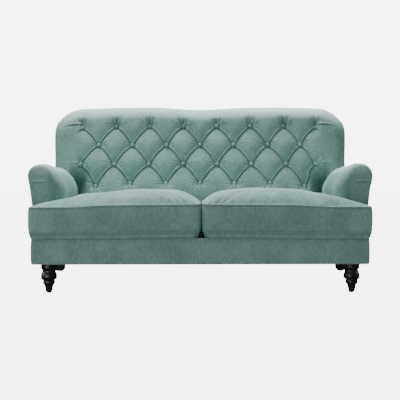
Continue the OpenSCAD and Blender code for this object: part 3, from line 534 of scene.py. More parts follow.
def pad_relief(cloth_x, cloth_z, x, z, beyond):
    """Depth, painted shade and pull of the whole cloth: the tufts, which fade past the outermost
    buttons and over the roll, the side folds, the crevice beside the arm, and a low swell of
    sines. Painted highlight lightens the upper roll; painted shade darkens the face near its
    sides, the side folds and the crevice."""
    depth, fold, pull = tufting(cloth_x, cloth_z)
    fade = 1 - smooth((np.abs(cloth_x) - END_BUTTON - 0.010) / 0.060)
    dark, lip = side_folds(x, z)
    hollow = crevice(cloth_x, cloth_z)
    over = np.where(beyond > 0, 1 - smooth((beyond - 0.02) / (ROLL * np.pi / 2)), 1)
    swell = np.sin(7 * cloth_x + 1.0) * np.sin(9 * cloth_z) * lerp(0.3, 1, smooth((beyond + 0.03) / 0.08))
    crushed = smooth((np.abs(x) - 0.66) / 0.12) * smooth((z - 0.50) / 0.1) * smooth((0.86 - z) / 0.08)
    painted_top_light = (0.30 + 0.26 * smooth((cloth_x + 0.2) / 0.7)) * smooth((z - 0.862) / 0.075)
    depth = (depth * fade + 0.0050 * dark - 0.0025 * lip) * over + CREVICE * hollow + 0.003 * swell
    # painted shade in the side folds, the crevice and near the sides; painted highlight on the upper roll and
    # the lips
    fold = (fold * fade + 0.42 * dark - 0.34 * lip) * over + 0.55 * hollow + 0.22 * crushed - painted_top_light
    return depth, fold, pull * fade * smooth((z - BACK_LOW) / 0.05) * (beyond < 0)


def back_pad():
    """Grid over the flat cloth: fine rows and columns on the buttoned face, rings round its
    sides and top, and rows along its underside, which run back to the rear rail. Each point is
    sunk by its depth along the surface's normal. A fan closes the hidden rear."""
    half, top = BACK_HALF - ROLL, BACK_TOP - ROLL
    ring, start = [np.linspace(0, ROLL * np.pi / 2, 27)[1:]], ROLL * np.pi / 2
    for length, count in zip(RINGS.values(), (16, 10, 3, 1)):
        ring.append(start + np.linspace(0, length, count + 1)[1:])
        start += length
    ring = np.concatenate(ring)
    face_x = np.linspace(-half, half, 2 * round(half / CLOTH_STEP) + 1)
    face_z = np.concatenate([np.linspace(BACK_LOW, 0.43, 15)[:-1],
                             np.linspace(0.43, top, round((top - 0.43) / CLOTH_STEP))])
    xs = np.concatenate([-half - ring[::-1], face_x, half + ring])
    zs = np.concatenate([BACK_LOW - np.linspace(UNDER, 0, 7)[:-1], face_z, top + ring])
    cloth_x, z_flat = np.meshgrid(xs, zs)
    cloth_z = np.maximum(z_flat, BACK_LOW)
    x, y, z, beyond, upward, turn = back_pad_points(cloth_x, cloth_z)
    depth, fold, pull = pad_relief(cloth_x, cloth_z, x, z, beyond)

    lean = np.arctan(LEAN) * smooth((z - SEAM_HEIGHT) / 0.02)
    normal = np.stack([-np.sign(cloth_x) * np.sin(turn) * (1 - upward), np.cos(turn) * np.cos(lean),
                       -np.cos(turn) * np.sin(lean) - np.sin(turn) * upward], -1)
    points = np.stack([x, y, z + pull], -1) + normal * depth[..., None]
    at_rail = np.stack([np.clip(x, -0.79, 0.79), np.full_like(x, 0.385), np.full_like(x, BACK_LOW)], -1)
    points = lerp(points, at_rail, smooth((BACK_LOW - z_flat) / UNDER)[..., None])

    rows, cols = x.shape
    number = np.arange(rows * cols).reshape(rows, cols)
    edge = np.concatenate([number[0], number[1:, -1], number[-1, -2::-1], number[-2:0:-1, 0]])
    fan = np.stack([np.roll(edge, -1), edge, np.full_like(edge, rows * cols)], -1)
    points = np.concatenate([points.reshape(-1, 3), [[0, 0.40, 0.56]]])
    piece = mesh_object("inside_back", points, [quads(rows, cols), fan])
    lay_cloth(piece, np.append(cloth_x, 0), np.append(cloth_z, 0), np.append(fold, 0))
    return piece


pad = back_pad()
pad.data.materials.append(cover)
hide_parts("back_pad")
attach(pad, "frame")


# Buttons: cloth drawn over small metal domes, each seated at the bottom of its tuft with the
# gathered edge hidden behind.
BUTTON_R = 0.0120
BUTTON_T = 0.0075
BUTTON_SINK = 0.0168
RIM_BACK = -0.0015
# painted shade at the rim of each button
RIM_PAINTED_SHADE = 0.6


def lids(rows, cols):
    """Fans that close the first and the last ring of a grid, round two middle points that
    follow the grid's own."""
    i = np.arange(cols)
    ahead, last = (i + 1) % cols, (rows - 1) * cols
    return [np.stack([ahead, i, np.full(cols, rows * cols)], -1),
            np.stack([last + i, last + ahead, np.full(cols, rows * cols + 1)], -1)]


def button_places():
    """Four rows of eight and seven buttons in turn, on the leaning face."""
    places = []
    for row in range(4):
        count = 8 - row % 2
        x = (np.arange(count) - (count - 1) / 2) * PITCH
        z = np.full(count, TOP_ROW - row * ROW)
        out, down = stray(x, z)
        x, z = x + np.sign(x) * out, z - down
        places.append(np.stack([x, back_face(z) + BUTTON_SINK, z], -1))
    return np.concatenate(places)


def buttons():
    """Each button is a profile turned round its axis: radius and height follow a flattened
    quarter circle, with a rim that turns under. A low wave round the rim shows the gathers."""
    t = np.linspace(0, 1, 9) * np.pi / 2
    radius = BUTTON_R * np.append(0.8, np.cos(t) ** 0.75)[:, None]
    height = np.append(RIM_BACK, BUTTON_T * (0.25 + 0.75 * np.sin(t)))[:, None]
    angle = np.linspace(0, 2 * np.pi, 24, endpoint=False)
    wave = 1 + 0.02 * np.cos(8 * angle) * (radius / BUTTON_R) ** 4
    across, up = radius * np.cos(angle) * wave, radius * np.sin(angle) * wave
    tilt = math.atan(LEAN)
    shape = np.stack([across, up * math.sin(tilt) - height * math.cos(tilt),
                      up * math.cos(tilt) + height * math.sin(tilt)], -1)
    one = np.concatenate([shape[:-1].reshape(-1, 3), [shape[0].mean(0), shape[-1].mean(0)]])
    rows, cols = len(shape) - 1, len(angle)
    places = button_places()
    points = (places[:, None, :] + one).reshape(-1, 3)
    first = (np.arange(len(places)) * len(one))[:, None, None]
    faces = [(group + first).reshape(-1, group.shape[1])
             for group in (quads(rows, cols, around=True), *lids(rows, cols))]
    piece = mesh_object("back_buttons_covered", points, faces)
    # painted shade darkens each button's rim, where it sinks into its tuft
    rim = np.repeat(np.clip(1 - np.arange(rows) / 3, 0, 1) * RIM_PAINTED_SHADE, cols)
    lay_cloth(piece, points[:, 0], points[:, 2], np.tile(np.append(rim, [RIM_PAINTED_SHADE, 0]), len(places)))
    return piece


button_set = buttons()
button_set.data.materials.append(cover)
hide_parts("back_buttons")
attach(button_set, "frame")


# Outside back: cloth over lining board, tacked to the rear of the frame from the base's lower
# edge up to the rolled cap, and shaped at its sides like the ends of the arms.
BASE_HALF = 0.830
DECK = 0.265
SIDE_PUFF = 0.003
ARM_R = 0.087
ARM_X = 0.781
ARM_FRONT_Y, ARM_REAR_Y = -0.302, 0.414
ARM_TOP = 0.633
ARM_FALL = 0.042
TUCK = math.radians(35)
CAP_HALF, CAP_LOW, CAP_DEEP = 0.811, 0.862, 0.074
PANEL_T = 0.006
PANEL_PROUD = 0.0063


def run_along(line):
    """Distance from a line's start to each of its points."""
    return np.concatenate([[0], np.cumsum(np.linalg.norm(np.diff(line, axis=0), axis=1))])


def ribbon(*parts):
    """One open line through several lists of points, resampled to even steps of 4 mm."""
    line = np.concatenate(parts)
    run = run_along(line)
    s = np.linspace(0, run[-1], round(run[-1] / 0.004) + 1)
    return np.stack([np.interp(s, run, line[:, k]) for k in range(line.shape[1])], -1)


def arc(cx, cz, r, a0, a1, n=40):
    """n points on the circle of radius r about (cx, cz), from angle a0 to a1."""
    a = np.linspace(a0, a1, n)
    return np.stack([cx + r * np.cos(a), cz + r * np.sin(a)], -1)


def ringed(name, rings, middles):
    """Closed piece of rings (rows x points x 3), with a middle point for each end's fan."""
    rows, cols = rings.shape[:2]
    points = np.concatenate([rings.reshape(-1, 3), middles])
    return mesh_object(name, points, [quads(rows, cols, around=True), *lids(rows, cols)])


def padded_board(name, outline, middle, depth_at, edge, puff, turned):
    """Board of an outline (u, v) that is star-shaped about a middle. Each face is the outline
    drawn towards the middle; its edge is a half circle of the board's thickness, and the outer
    face swells by puff x (1 - share^4). depth_at gives the outer face's depth at u and v, and
    turned puts u, the depth and v in their places as x, y and z."""
    share = np.concatenate([np.linspace(0.06, 0.9, 16), 1 - edge * np.array([0.7, 0.35, 0.12, 0.0])])
    lift = np.concatenate([np.zeros(16), [0.0, 0.08, 0.25, 0.5]])[:, None] * PANEL_T
    u, v = np.moveaxis(middle + share[:, None, None] * (outline - middle), -1, 0)
    face = depth_at(u, v)
    outer = face + puff * (1 - share[:, None] ** 4) - lift
    inner = face - PANEL_T + lift
    depth = np.concatenate([inner[:-1], outer[::-1]])
    u, v = np.concatenate([u[:-1], u[::-1]]), np.concatenate([v[:-1], v[::-1]])
    rings = np.stack(turned(u, depth, v), -1)
    piece = ringed(name, rings, [rings[0].mean(0), rings[-1].mean(0)])
    lay_cloth(piece, np.append(u, [u[0].mean(), u[-1].mean()]), np.append(v, [v[0].mean(), v[-1].mean()]))
    return piece


def cap_underside(x):
    """Lower edge of the back's cap: level, and following the corner's arc outside."""
    past = np.clip(np.abs(x) - (CAP_HALF - CORNER), 0, CORNER)
    drop = CORNER * (1 - np.sqrt(1 - (past / CORNER) ** 2))
    return np.minimum(CAP_LOW, BACK_TOP - HUMP - drop - CAP_DEEP) + 0.002


def outside_back():
    """Half of the outline, from the base up the side, round the arm's end and along the cap,
    and its mirror image, made into a board that leans with the frame's rear."""
    reach = CAP_HALF - 0.003
    top_x = lerp(reach, 0, np.linspace(0, 1, 30) ** 0.8)
    half = ribbon([[0.0, BASE_LOW], [BASE_HALF, BASE_LOW], [BASE_HALF + SIDE_PUFF, DECK]],
                  arc(ARM_X, ARM_TOP - ARM_FALL - ARM_R, ARM_R, -TUCK, math.acos((reach - ARM_X) / ARM_R)),
                  np.stack([top_x, cap_underside(top_x)], -1))
    return padded_board("outside_back_panel", np.concatenate([half, half[-2:0:-1] * [-1, 1]]),
                        np.array([0, 0.46]), lambda x, z: rear_line(z) + PANEL_PROUD, 0.012, 0.004,
                        lambda x, depth, z: (x, depth, z))


rear_panel = outside_back()
rear_panel.data.materials.append(cover)
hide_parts("outside_back")
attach(rear_panel, "frame")


# Arms: wadding over a timber rail, covered in one piece that rolls over from the inside to a
# tuck under the roll, and is gathered round a softly domed front. A separate padded panel
# covers the outside from the tuck down to the base's lower edge.
DOME_START, DOME = -0.279, 0.003
EDGE_IN, EDGE_OUT, EDGE_EARLY = 0.056, 0.044, 0.032
ARM_CREST, ARM_BULGE, ARM_SLOPE = 0.787, 0.103, 0.135
SHOULDER = 0.060
ARM_IN, ARM_OUT = ARM_X - ARM_R, 0.8715
ARM_LOW = DECK + 0.0003
ROLL_Z = ARM_TOP - ARM_R
TUCK_X = ARM_X + ARM_R * math.cos(TUCK)
TUCK_DROP = ARM_R * math.sin(TUCK)
PANEL_TOP = 0.45


def arm_drop(y):
    """How far the roll has fallen below its front height."""
    return ARM_FALL * np.clip((y - ARM_FRONT_Y) / (ARM_REAR_Y + 0.001 - ARM_FRONT_Y), -0.1, 1)


def arm_loop():
    """Outline of the arm's front end: up the outside, over a tight shoulder, down the inside on
    a quarter ellipse that is flattened by a sine and bulges over the cushion, in to the deck
    and back along it. Each point is then the mean of five."""
    outside = [[BASE_HALF + SIDE_PUFF, ARM_LOW], [0.840, 0.33], [0.848, 0.424], [0.8575, 0.497],
               [0.8620, 0.520], [0.8672, 0.544]]
    turn = np.linspace(np.pi / 2, np.pi, 60)
    flat = 1 - 0.070 * np.sin(2 * turn) ** 2
    inside = np.stack([ARM_CREST + ARM_BULGE * flat * np.cos(turn),
                       ARM_TOP - ARM_SLOPE + ARM_SLOPE * flat * np.sin(turn)], -1)
    in_x, in_z = ARM_CREST - ARM_BULGE, ARM_TOP - ARM_SLOPE
    foot = [[in_x + 0.0015, in_z - 0.03], [in_x + 0.007, in_z - 0.055], [ARM_IN, in_z - 0.075],
            [ARM_IN + 0.001, 0.33], [ARM_IN + 0.004, ARM_LOW], [ARM_IN + 0.03, ARM_LOW],
            [BASE_HALF - 0.02, ARM_LOW], [BASE_HALF + SIDE_PUFF, ARM_LOW]]
    over = arc(ARM_OUT - SHOULDER, ARM_TOP - SHOULDER, SHOULDER, 0, np.pi / 2, 50)
    loop = ribbon(outside, over, inside, foot)
    wrapped = np.concatenate([loop[-3:-1], loop[:-1], loop[:2]])
    return np.stack([np.convolve(wrapped[:, k], np.ones(5) / 5, "valid") for k in (0, 1)], -1)


def arm(side, hand):
    """The loop is carried from the rear to the front. There it turns in on a quarter ellipse,
    EDGE_OUT forwards and EDGE_IN towards a spine inside the roll, EDGE_EARLY sooner on the
    inner side, and closes over a dome of DOME. A crown, a crease with a lip below the roll, a
    tuck, gathers and a band beside the cushion are small depths: bells, or powers of cosines."""
    loop = arm_loop()
    turn = np.linspace(0, 1, 22)[1:] * np.pi / 2
    close = np.linspace(0, 1, 16)[1:]
    back_part = BACK_FACE + 0.08
    body_y = np.concatenate([np.linspace(ARM_REAR_Y, back_part, 24),
                             np.linspace(back_part, DOME_START, 80)[1:]])
    nose_y = DOME_START - EDGE_OUT
    y = np.concatenate([body_y, DOME_START - EDGE_OUT * np.sin(turn), nose_y - DOME * (1 - (1 - close) ** 2)])
    y = y[:, None]
    edge_share = EDGE_IN / ARM_R
    ahead = np.concatenate([np.zeros(len(body_y)), edge_share * (1 - np.cos(turn)),
                            lerp(edge_share, 0.97, close)])
    ahead = np.broadcast_to(ahead[:, None], (len(y), len(loop)))
    spine_z = np.clip(loop[:, 1], ARM_LOW, ROLL_Z)
    spine_x = lerp(0.766, ARM_X, smooth((spine_z - 0.36) / 0.16))
    x, z = lerp(loop[:, 0], spine_x, ahead), lerp(loop[:, 1], spine_z, ahead)
    early = EDGE_EARLY * smooth((0.765 - loop[:, 0]) / 0.05)
    eased = np.concatenate([smooth((-0.15 - body_y) / (-0.15 - DOME_START)), 1 - np.sin(turn),
                            np.zeros(len(close))])
    yy = y + eased[:, None] * early
    z = (z - arm_drop(yy) * smooth((z - DECK) / 0.16)
         + 0.0045 * smooth((z - 0.55) / 0.06) * smooth((-0.05 - yy) / 0.2))

    angle = np.arctan2(z - (ROLL_Z - arm_drop(yy)), x - ARM_X)
    at_front = smooth(ahead / 0.10)
    crest = 0.735
    crown = smooth(ahead / 0.5) * np.where(
        x < crest, 0.010 * ((crest - x) / 0.050) ** 2, 0.030 * (np.clip(x - crest, 0, 1) / 0.137) ** 1.4)
    crease_z = 0.5435 + 0.05 * np.maximum(0.80 - x, 0)
    under_roll = smooth((x - 0.772) / 0.020) * at_front
    crease, lip = bell((z - crease_z) / 0.0026) * under_roll, bell((z - crease_z - 0.008) / 0.0045) * under_roll
    tuck = bell((z - 0.526 + 0.30 * (0.85 - x)) / 0.0028) * smooth((x - 0.832) / 0.010) * at_front
    fan = smooth((angle - 0.55) / 0.3) * smooth((1.75 - angle) / 0.4) * bell((ahead - 0.20) / 0.16)
    gather = np.maximum(0, np.cos(12 * (angle - 0.66 - 0.02 * side))) ** 5 * fan
    band = bell((x - 0.738) / 0.017) * smooth((0.615 - z) / 0.06) * at_front
    swell = at_front * smooth((z - 0.545) / 0.01) * smooth((x - ARM_X) / 0.02)
    wobble = np.sin(17 * yy + 3 * angle) * np.sin(2.2 * angle + 0.8 * side) * (1 - at_front)
    yy = (yy + crown + 0.0038 * crease - 0.0018 * lip + 0.003 * tuck + 0.0026 * gather + 0.002 * band
          - 0.0035 * swell)
    yy = np.minimum(yy, rear_line(z))
    grow = 0.0016 * wobble - 0.0022 * gather * (1 - ahead)
    x = x + grow * np.cos(angle)
    z = z + grow * np.sin(angle) * smooth((z - 0.40) / 0.1)

    # beside the back the arm stays outside the pad, and under the roll it leaves room for the panel
    x = np.maximum(x, lerp(0.0, 0.796, smooth((yy - BACK_FACE - 0.03) / 0.07)))
    below = smooth((ROLL_Z - arm_drop(yy) - TUCK_DROP + 0.004 - z) / 0.006) * (x > 0.80)
    x = x - 0.0085 * below * smooth((y - DOME_START) / 0.02)
    middles = [[side * 0.815, 0.405, 0.45], [side * 0.777, yy[-1].mean(), 0.46]]
    piece = ringed(hand + "_arm", np.stack([side * x, yy, z], -1), middles)

    # Painted shade darkens the inner side beside the cushion, the crease, the tuck, the gathers and the band;
    # painted highlight lightens the lip and the top of the roll.
    painted_inner_shade = smooth((0.735 - x) / 0.02) * smooth((0.63 - z) / 0.04) * smooth((BACK_FACE - yy) / 0.1)
    fold = (lerp(0.22, 0.44, smooth((yy + 0.29) / 0.26)) * painted_inner_shade + 0.30 * crease - 0.3 * lip + 0.3 * tuck
            + 0.18 * gather + 0.22 * band - 0.42 * smooth((z - 0.57) / 0.05))
    cloth = [lerp(yy, x, at_front), lerp(run_along(loop), z, at_front), fold]
    lay_cloth(piece, *(np.append(value, [0, 0]) for value in cloth))
    return piece


def outside_arm(side, hand):
    """Panel in the side plane, a board of the outline (y, z) under the roll; its depth x follows
    the base's side up to the deck and then flares to the tuck."""
    def flare(y, z):
        upper = np.clip((z - DECK) / (0.494 - DECK), 0, 1) ** 1.1
        return np.where(z < DECK, BASE_HALF + SIDE_PUFF * smooth((z - BASE_LOW) / 0.12),
                        lerp(BASE_HALF + SIDE_PUFF, TUCK_X, upper))

    y_top = np.linspace(rear_line(PANEL_TOP), ARM_FRONT_Y, 60)
    under_roll = np.stack([y_top, ROLL_Z - arm_drop(y_top) - TUCK_DROP - 0.001], -1)
    outline = ribbon([[ARM_FRONT_Y, BASE_LOW], [rear_line(BASE_LOW), BASE_LOW],
                      [rear_line(PANEL_TOP), PANEL_TOP + 0.0045]], under_roll, [[ARM_FRONT_Y, BASE_LOW]])[:-1]
    return padded_board(hand + "_outside_arm_panel", outline, np.array([0.05, 0.31]), flare, 0.02, 0.0035,
                        lambda y, depth, z: (side * depth, y, z))


for side, hand in ((-1, "left"), (1, "right")):
    rolled = arm(side, hand)
    rolled.data.materials.append(cover)
    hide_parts(hand + "_arm_pad", hand + "_arm_front")
    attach(rolled, "frame")
    board = outside_arm(side, hand)
    board.data.materials.append(cover)
    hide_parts(hand + "_outside_arm")
    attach(board, "frame")


# Seat cushions: two loose T-shaped covers, boxed and self-piped, over foam wrapped in fibre.
# Each wing reaches out in front of an arm. The tops swell up steeply behind the front seam,
# and the front edge lifts a little between its drooping corners.
CUSH_X = (0.0062, 0.685, 0.8365)
CUSH_Y = (-0.445, -0.335, 0.122)
CUSH_MID = np.array([0.346, -0.1335])
LOWER_SEAM, UPPER_SEAM = 0.2985, SEAM_HEIGHT
BELLY = 0.0330
CROWN = 0.074
SEAM_PUFF, SIDE_SWELL = 0.0020, 0.0030
PIPING_R = 0.0022
GAP_SHIFT = 0.006
VOXEL = 0.0075
PRESSURE = 4
GIVE = -0.012
FRAMES = 20
CAP = 0.006


def seam_line():
    """Outline of a seam (x, y): straight sides, of which the front one is drawn in by 5 mm and
    the middle one by 1 mm as sines, joined by round corners of 26 mm, and of 14 mm where the
    wing meets the side."""
    (x0, x1, x2), (y0, y1, y2) = CUSH_X, CUSH_Y
    big, small = 0.026, 0.014
    quarter = np.pi / 2

    def side(a, b, pull=(0, 0)):
        t = np.linspace(0, 1, 60)[1:-1, None]
        return lerp(np.array(a), np.array(b), t) + np.array(pull) * np.sin(np.pi * t)

    return ribbon(
        arc(x1 - big, y2 - big, big, quarter, 0), side((x1, y2 - big), (x1, y1 + small)),
        arc(x1 + small, y1 + small, small, np.pi, 3 * quarter), side((x1 + small, y1), (x2 - big, y1)),
        arc(x2 - big, y1 - big, big, quarter, 0), arc(x2 - big, y0 + big, big, 0, -quarter),
        side((x2 - big, y0), (x0 + big, y0), (0, 0.005)), arc(x0 + big, y0 + big, big, 3 * quarter, np.pi),
        side((x0, y0 + big), (x0, y2 - big), (0.0012, 0)), arc(x0 + big, y2 - big, big, np.pi, quarter),
        side((x0 + big, y2), (x1 - big, y2)), arc(x1 - big, y2 - big, big, quarter, quarter, 2))[:-1]


def rise(d, reach):
    """0 up to d = 0, then nearing 1 as 1 - exp(-d / reach)."""
    return 1 - np.exp(-np.clip(d, 0, None) / reach)


def crown_share(x, y):
    """Share of the full crown: it rises within 55 mm of the middle gap, 35 mm of the front seam
    and 60 mm of the rear one, fades as a sine along the outer 600 mm, is held down beside the
    corner where the wing begins, and is a little fuller in front of the arm's inner side."""
    along = np.sin(np.pi / 2 * np.clip((CUSH_X[2] - x) / 0.60, 0, 1)) ** 0.7
    corner = rise(np.hypot(np.clip(CUSH_X[1] - x, 0, None) / 0.030, np.clip(CUSH_Y[1] - y, 0, None) / 0.012), 1)
    full = rise(x - CUSH_X[0], 0.055) * rise(y - CUSH_Y[0], 0.035) * rise(CUSH_Y[2] - y, 0.060) * along * corner
    beside_arm = bell((x - 0.645) / 0.085) * smooth((y + 0.440) / 0.06) * smooth((-0.215 - y) / 0.11)
    return full + 0.165 * beside_arm * corner


def front_lift(x, y):
    """Lift of the upper and of the lower seam along the front edge, which fades backwards: both
    rise from the wing to the middle, and the lower one again at the middle corner."""
    near_front = bell(np.clip(y - CUSH_Y[0], 0, None) / 0.13)
    upper = 0.002 + 0.0095 * smooth((0.66 - x) / 0.22) + 0.005 * np.clip(1 - x / 0.46, 0, 1)
    lower = 0.0055 * smooth((0.42 - x) / 0.25) + 0.006 * np.exp(-np.clip(x - CUSH_X[0], 0, None) / 0.018)
    return upper * near_front, lower * near_front


def border_rise(x):
    """How far the padded upper edge of the base stands above the deck."""
    return 0.004 + 0.006 * smooth((0.50 - np.abs(x)) / 0.40)


def cushion(side, hand):
    """Rings of the seam outline: the underside from the middle outwards, a half circle for the
    lower piping, the boxing with a sine swell, the upper piping, and the crown inwards to the
    middle. Soft dents and small gathers behind the seams are products of sines."""
    line = seam_line()
    run = run_along(line)
    ahead = np.roll(line, -1, 0) - np.roll(line, 1, 0)
    outward = np.stack([-ahead[:, 1], ahead[:, 0]], -1) / np.linalg.norm(ahead, axis=1)[:, None]
    gather = np.sin(run / 0.0062 + 1.3 * np.sin(run / 0.071)) * (0.6 + 0.4 * np.sin(run / 0.19 + side))
    dent = np.sin(run / 0.083 + 1.1 * side) * np.sin(run / 0.031 + 0.4)

    def drawn_in(share):
        return lerp(line, CUSH_MID, share[..., None])

    under = (np.linspace(1, 0, 26)[1:] ** 1.6 * 0.94)[:, None]
    under_xy = drawn_in(under)
    rounded = (smooth((0.042 - under_xy[..., 0] + CUSH_X[0]) / 0.036)
               * smooth((-0.400 - under_xy[..., 1]) / 0.03))
    tuck = np.clip(under / lerp(0.075, 0.030, smooth((under_xy[..., 0] - 0.775) / 0.05)), 0, 1)
    under_z = (LOWER_SEAM - BELLY * np.sin(np.pi / 2 * tuck) ** 0.62 * (1 - 0.95 * rounded)
               + 0.0016 * bell((under - 0.020) / 0.006))

    bead = np.linspace(-1.25, 1.25, 9)[:, None]
    bead_xy = line + (PIPING_R * (np.cos(bead) + 0.35))[..., None] * outward
    bead_up = PIPING_R * np.sin(bead)

    t = np.linspace(0, 1, 24)[1:-1, None]
    side_out = (SEAM_PUFF + SIDE_SWELL * np.sin(np.pi * t) ** 0.75 + 0.0012 * dent * np.sin(np.pi * t)
                + 0.0006 * gather * (np.exp(-t / 0.10) + np.exp(-(1 - t) / 0.10)))
    side_xy = line + side_out[..., None] * outward
    side_z = lerp(LOWER_SEAM + 0.002, UPPER_SEAM - 0.002, t)

    top = np.linspace(0, 1, 64)[1:] ** 1.5 * 0.97
    top = np.concatenate([[0.004], top[top > 0.006]])[:, None]
    top_xy = drawn_in(top)
    x, y = top_xy[..., 0], top_xy[..., 1]
    swell = CROWN * crown_share(x, y) * (1 + side * 0.085 * smooth((x - 0.12) / 0.3))
    dents = 0.0028 * np.sin(11 * x + 2 * side) * np.sin(13 * y + 1.7) + 0.0016 * np.sin(23 * x - 9 * y + side)
    pucker = 0.0011 * gather * np.exp(-top / 0.05) * (1 - np.exp(-top / 0.006))
    top_z = UPPER_SEAM + 0.001 + swell + (dents * smooth(top / 0.2) + pucker)

    bands = ((under_xy, under_z), (bead_xy, LOWER_SEAM + bead_up), (side_xy, side_z),
             (bead_xy, UPPER_SEAM + bead_up), (top_xy, top_z))
    x, y = np.moveaxis(np.concatenate([xy for xy, z in bands]), -1, 0)
    z = np.concatenate([np.broadcast_to(z, xy.shape[:2]) for xy, z in bands])
    upper, lower = front_lift(x, y)
    settled = smooth((z - LOWER_SEAM + BELLY) / BELLY)
    z = z + lerp(lower * settled, upper, smooth((z - LOWER_SEAM) / (UPPER_SEAM - LOWER_SEAM)))
    z = np.maximum(z, DECK + 0.0004 + border_rise(x) * smooth((-0.398 - y) / 0.012))
    moved = x + side * GAP_SHIFT * (1 - smooth(x / 0.45))
    rings = np.stack([side * moved, y, z], -1)
    piece = ringed(hand + "_cushion_padded", rings, [rings[0].mean(0), rings[-1].mean(0) + [0, 0, 0.0004]])

    # the cloth runs round the boxing, and lies flat above and below; painted shade darkens the seams and, a
    # little, the top
    ends = np.cumsum([len(xy) for xy, z in bands])
    row = np.arange(len(z))[:, None]
    on_side = (row >= ends[0] + len(bead) // 2) & (row < ends[2] + len(bead) // 2)
    fold = np.where(row > ends[3], 0.055, 0.0)
    fold[[ends[0] - 1, ends[1], ends[2] - 1, ends[3]], 0] = 0.35, 0.25, 0.30, 0.06
    fold = np.broadcast_to(fold, z.shape)
    lay_cloth(piece, np.append(np.where(on_side, run, x), [CUSH_MID[0]] * 2),
              np.append(np.where(on_side, z, y), [CUSH_MID[1]] * 2), np.append(fold, [0, 0]))
    return piece


def spots(mesh):
    """Places of a mesh's points, as rows of x, y and z."""
    places = np.empty(len(mesh.vertices) * 3)
    mesh.vertices.foreach_get("co", places)
    return places.reshape(-1, 3)


def worked_out(piece):
    """The piece as its modifiers leave it."""
    return piece.evaluated_get(bpy.context.evaluated_depsgraph_get())


def filled(piece, held):
    """Fills a cover by cloth simulation: an even copy of it, held where held(x, y, z) is true,
    is blown up from inside without gravity, and a point's way w is cut to CAP x tanh(w / CAP).
    Each point of the piece then moves as the copy's four nearest points did, each with a
    weight of 1 / (distance + 2 mm)^2."""
    scene = bpy.context.scene
    plain = placed("plain_cover", piece.data.copy())
    even = plain.modifiers.new("even", "REMESH")
    even.mode, even.voxel_size = "VOXEL", VOXEL
    copy = placed("even_cover", bpy.data.meshes.new_from_object(worked_out(plain)))
    places = spots(copy.data)
    copy.vertex_groups.new(name="held").add(np.flatnonzero(held(*places.T)).tolist(), 1.0, "REPLACE")
    cloth = copy.modifiers.new("filling", "CLOTH").settings
    cloth.vertex_group_mass = "held"
    cloth.use_pressure = True
    cloth.uniform_pressure_force = PRESSURE
    cloth.shrink_min = GIVE
    cloth.effector_weights.gravity = 0
    for moment in range(1, FRAMES + 1):
        scene.frame_set(moment)
    moved = spots(worked_out(copy).to_mesh()) - places
    scene.frame_set(1)
    way = np.maximum(np.linalg.norm(moved, axis=1, keepdims=True), 1e-9)
    moved = moved * CAP * np.tanh(way / CAP) / way

    tree = KDTree(len(places))
    for number, place in enumerate(places):
        tree.insert(place, number)
    tree.balance()
    points = spots(piece.data)
    found = np.array([[hit[1:] for hit in tree.find_n(point, 4)] for point in points])
    near, weight = found[..., 0].astype(int), 1 / (found[..., 1:] + 0.002) ** 2
    points += (moved[near] * weight).sum(1) / weight.sum(1)
    piece.data.vertices.foreach_set("co", points.ravel())
    piece.data.update()
    for helper in (copy, plain):
        bpy.data.objects.remove(helper)


def seams_and_rests(x, y, z):
    """Where a cushion's cover can't move: underneath, on the upper seam, and beside the back,
    the other cushion and the arm."""
    x, over = np.abs(x), z - UPPER_SEAM
    seam = (np.abs(over) < 0.014) & (y > -0.40) | (np.abs(over - 0.008) < 0.008)
    return (z < LOWER_SEAM + 0.012) | seam | (y > 0.07) | (x < 0.016) | (x > 0.655) & (y > -0.36)


for side, hand in ((-1, "left"), (1, "right")):
    seat_cushion = cushion(side, hand)
    filled(seat_cushion, seams_and_rests)
    seat_cushion.data.materials.append(cover)
    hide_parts(hand + "_cushion_cover")
    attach(seat_cushion, hand + "_cushion")


# Front border: a padded band of the cover cloth round the front of the base, with rounded
# upright corners, pulled under and stapled at its lower edge.
BASE_FRONT = -0.420
BORDER_R = 0.016
BORDER_T = 0.006


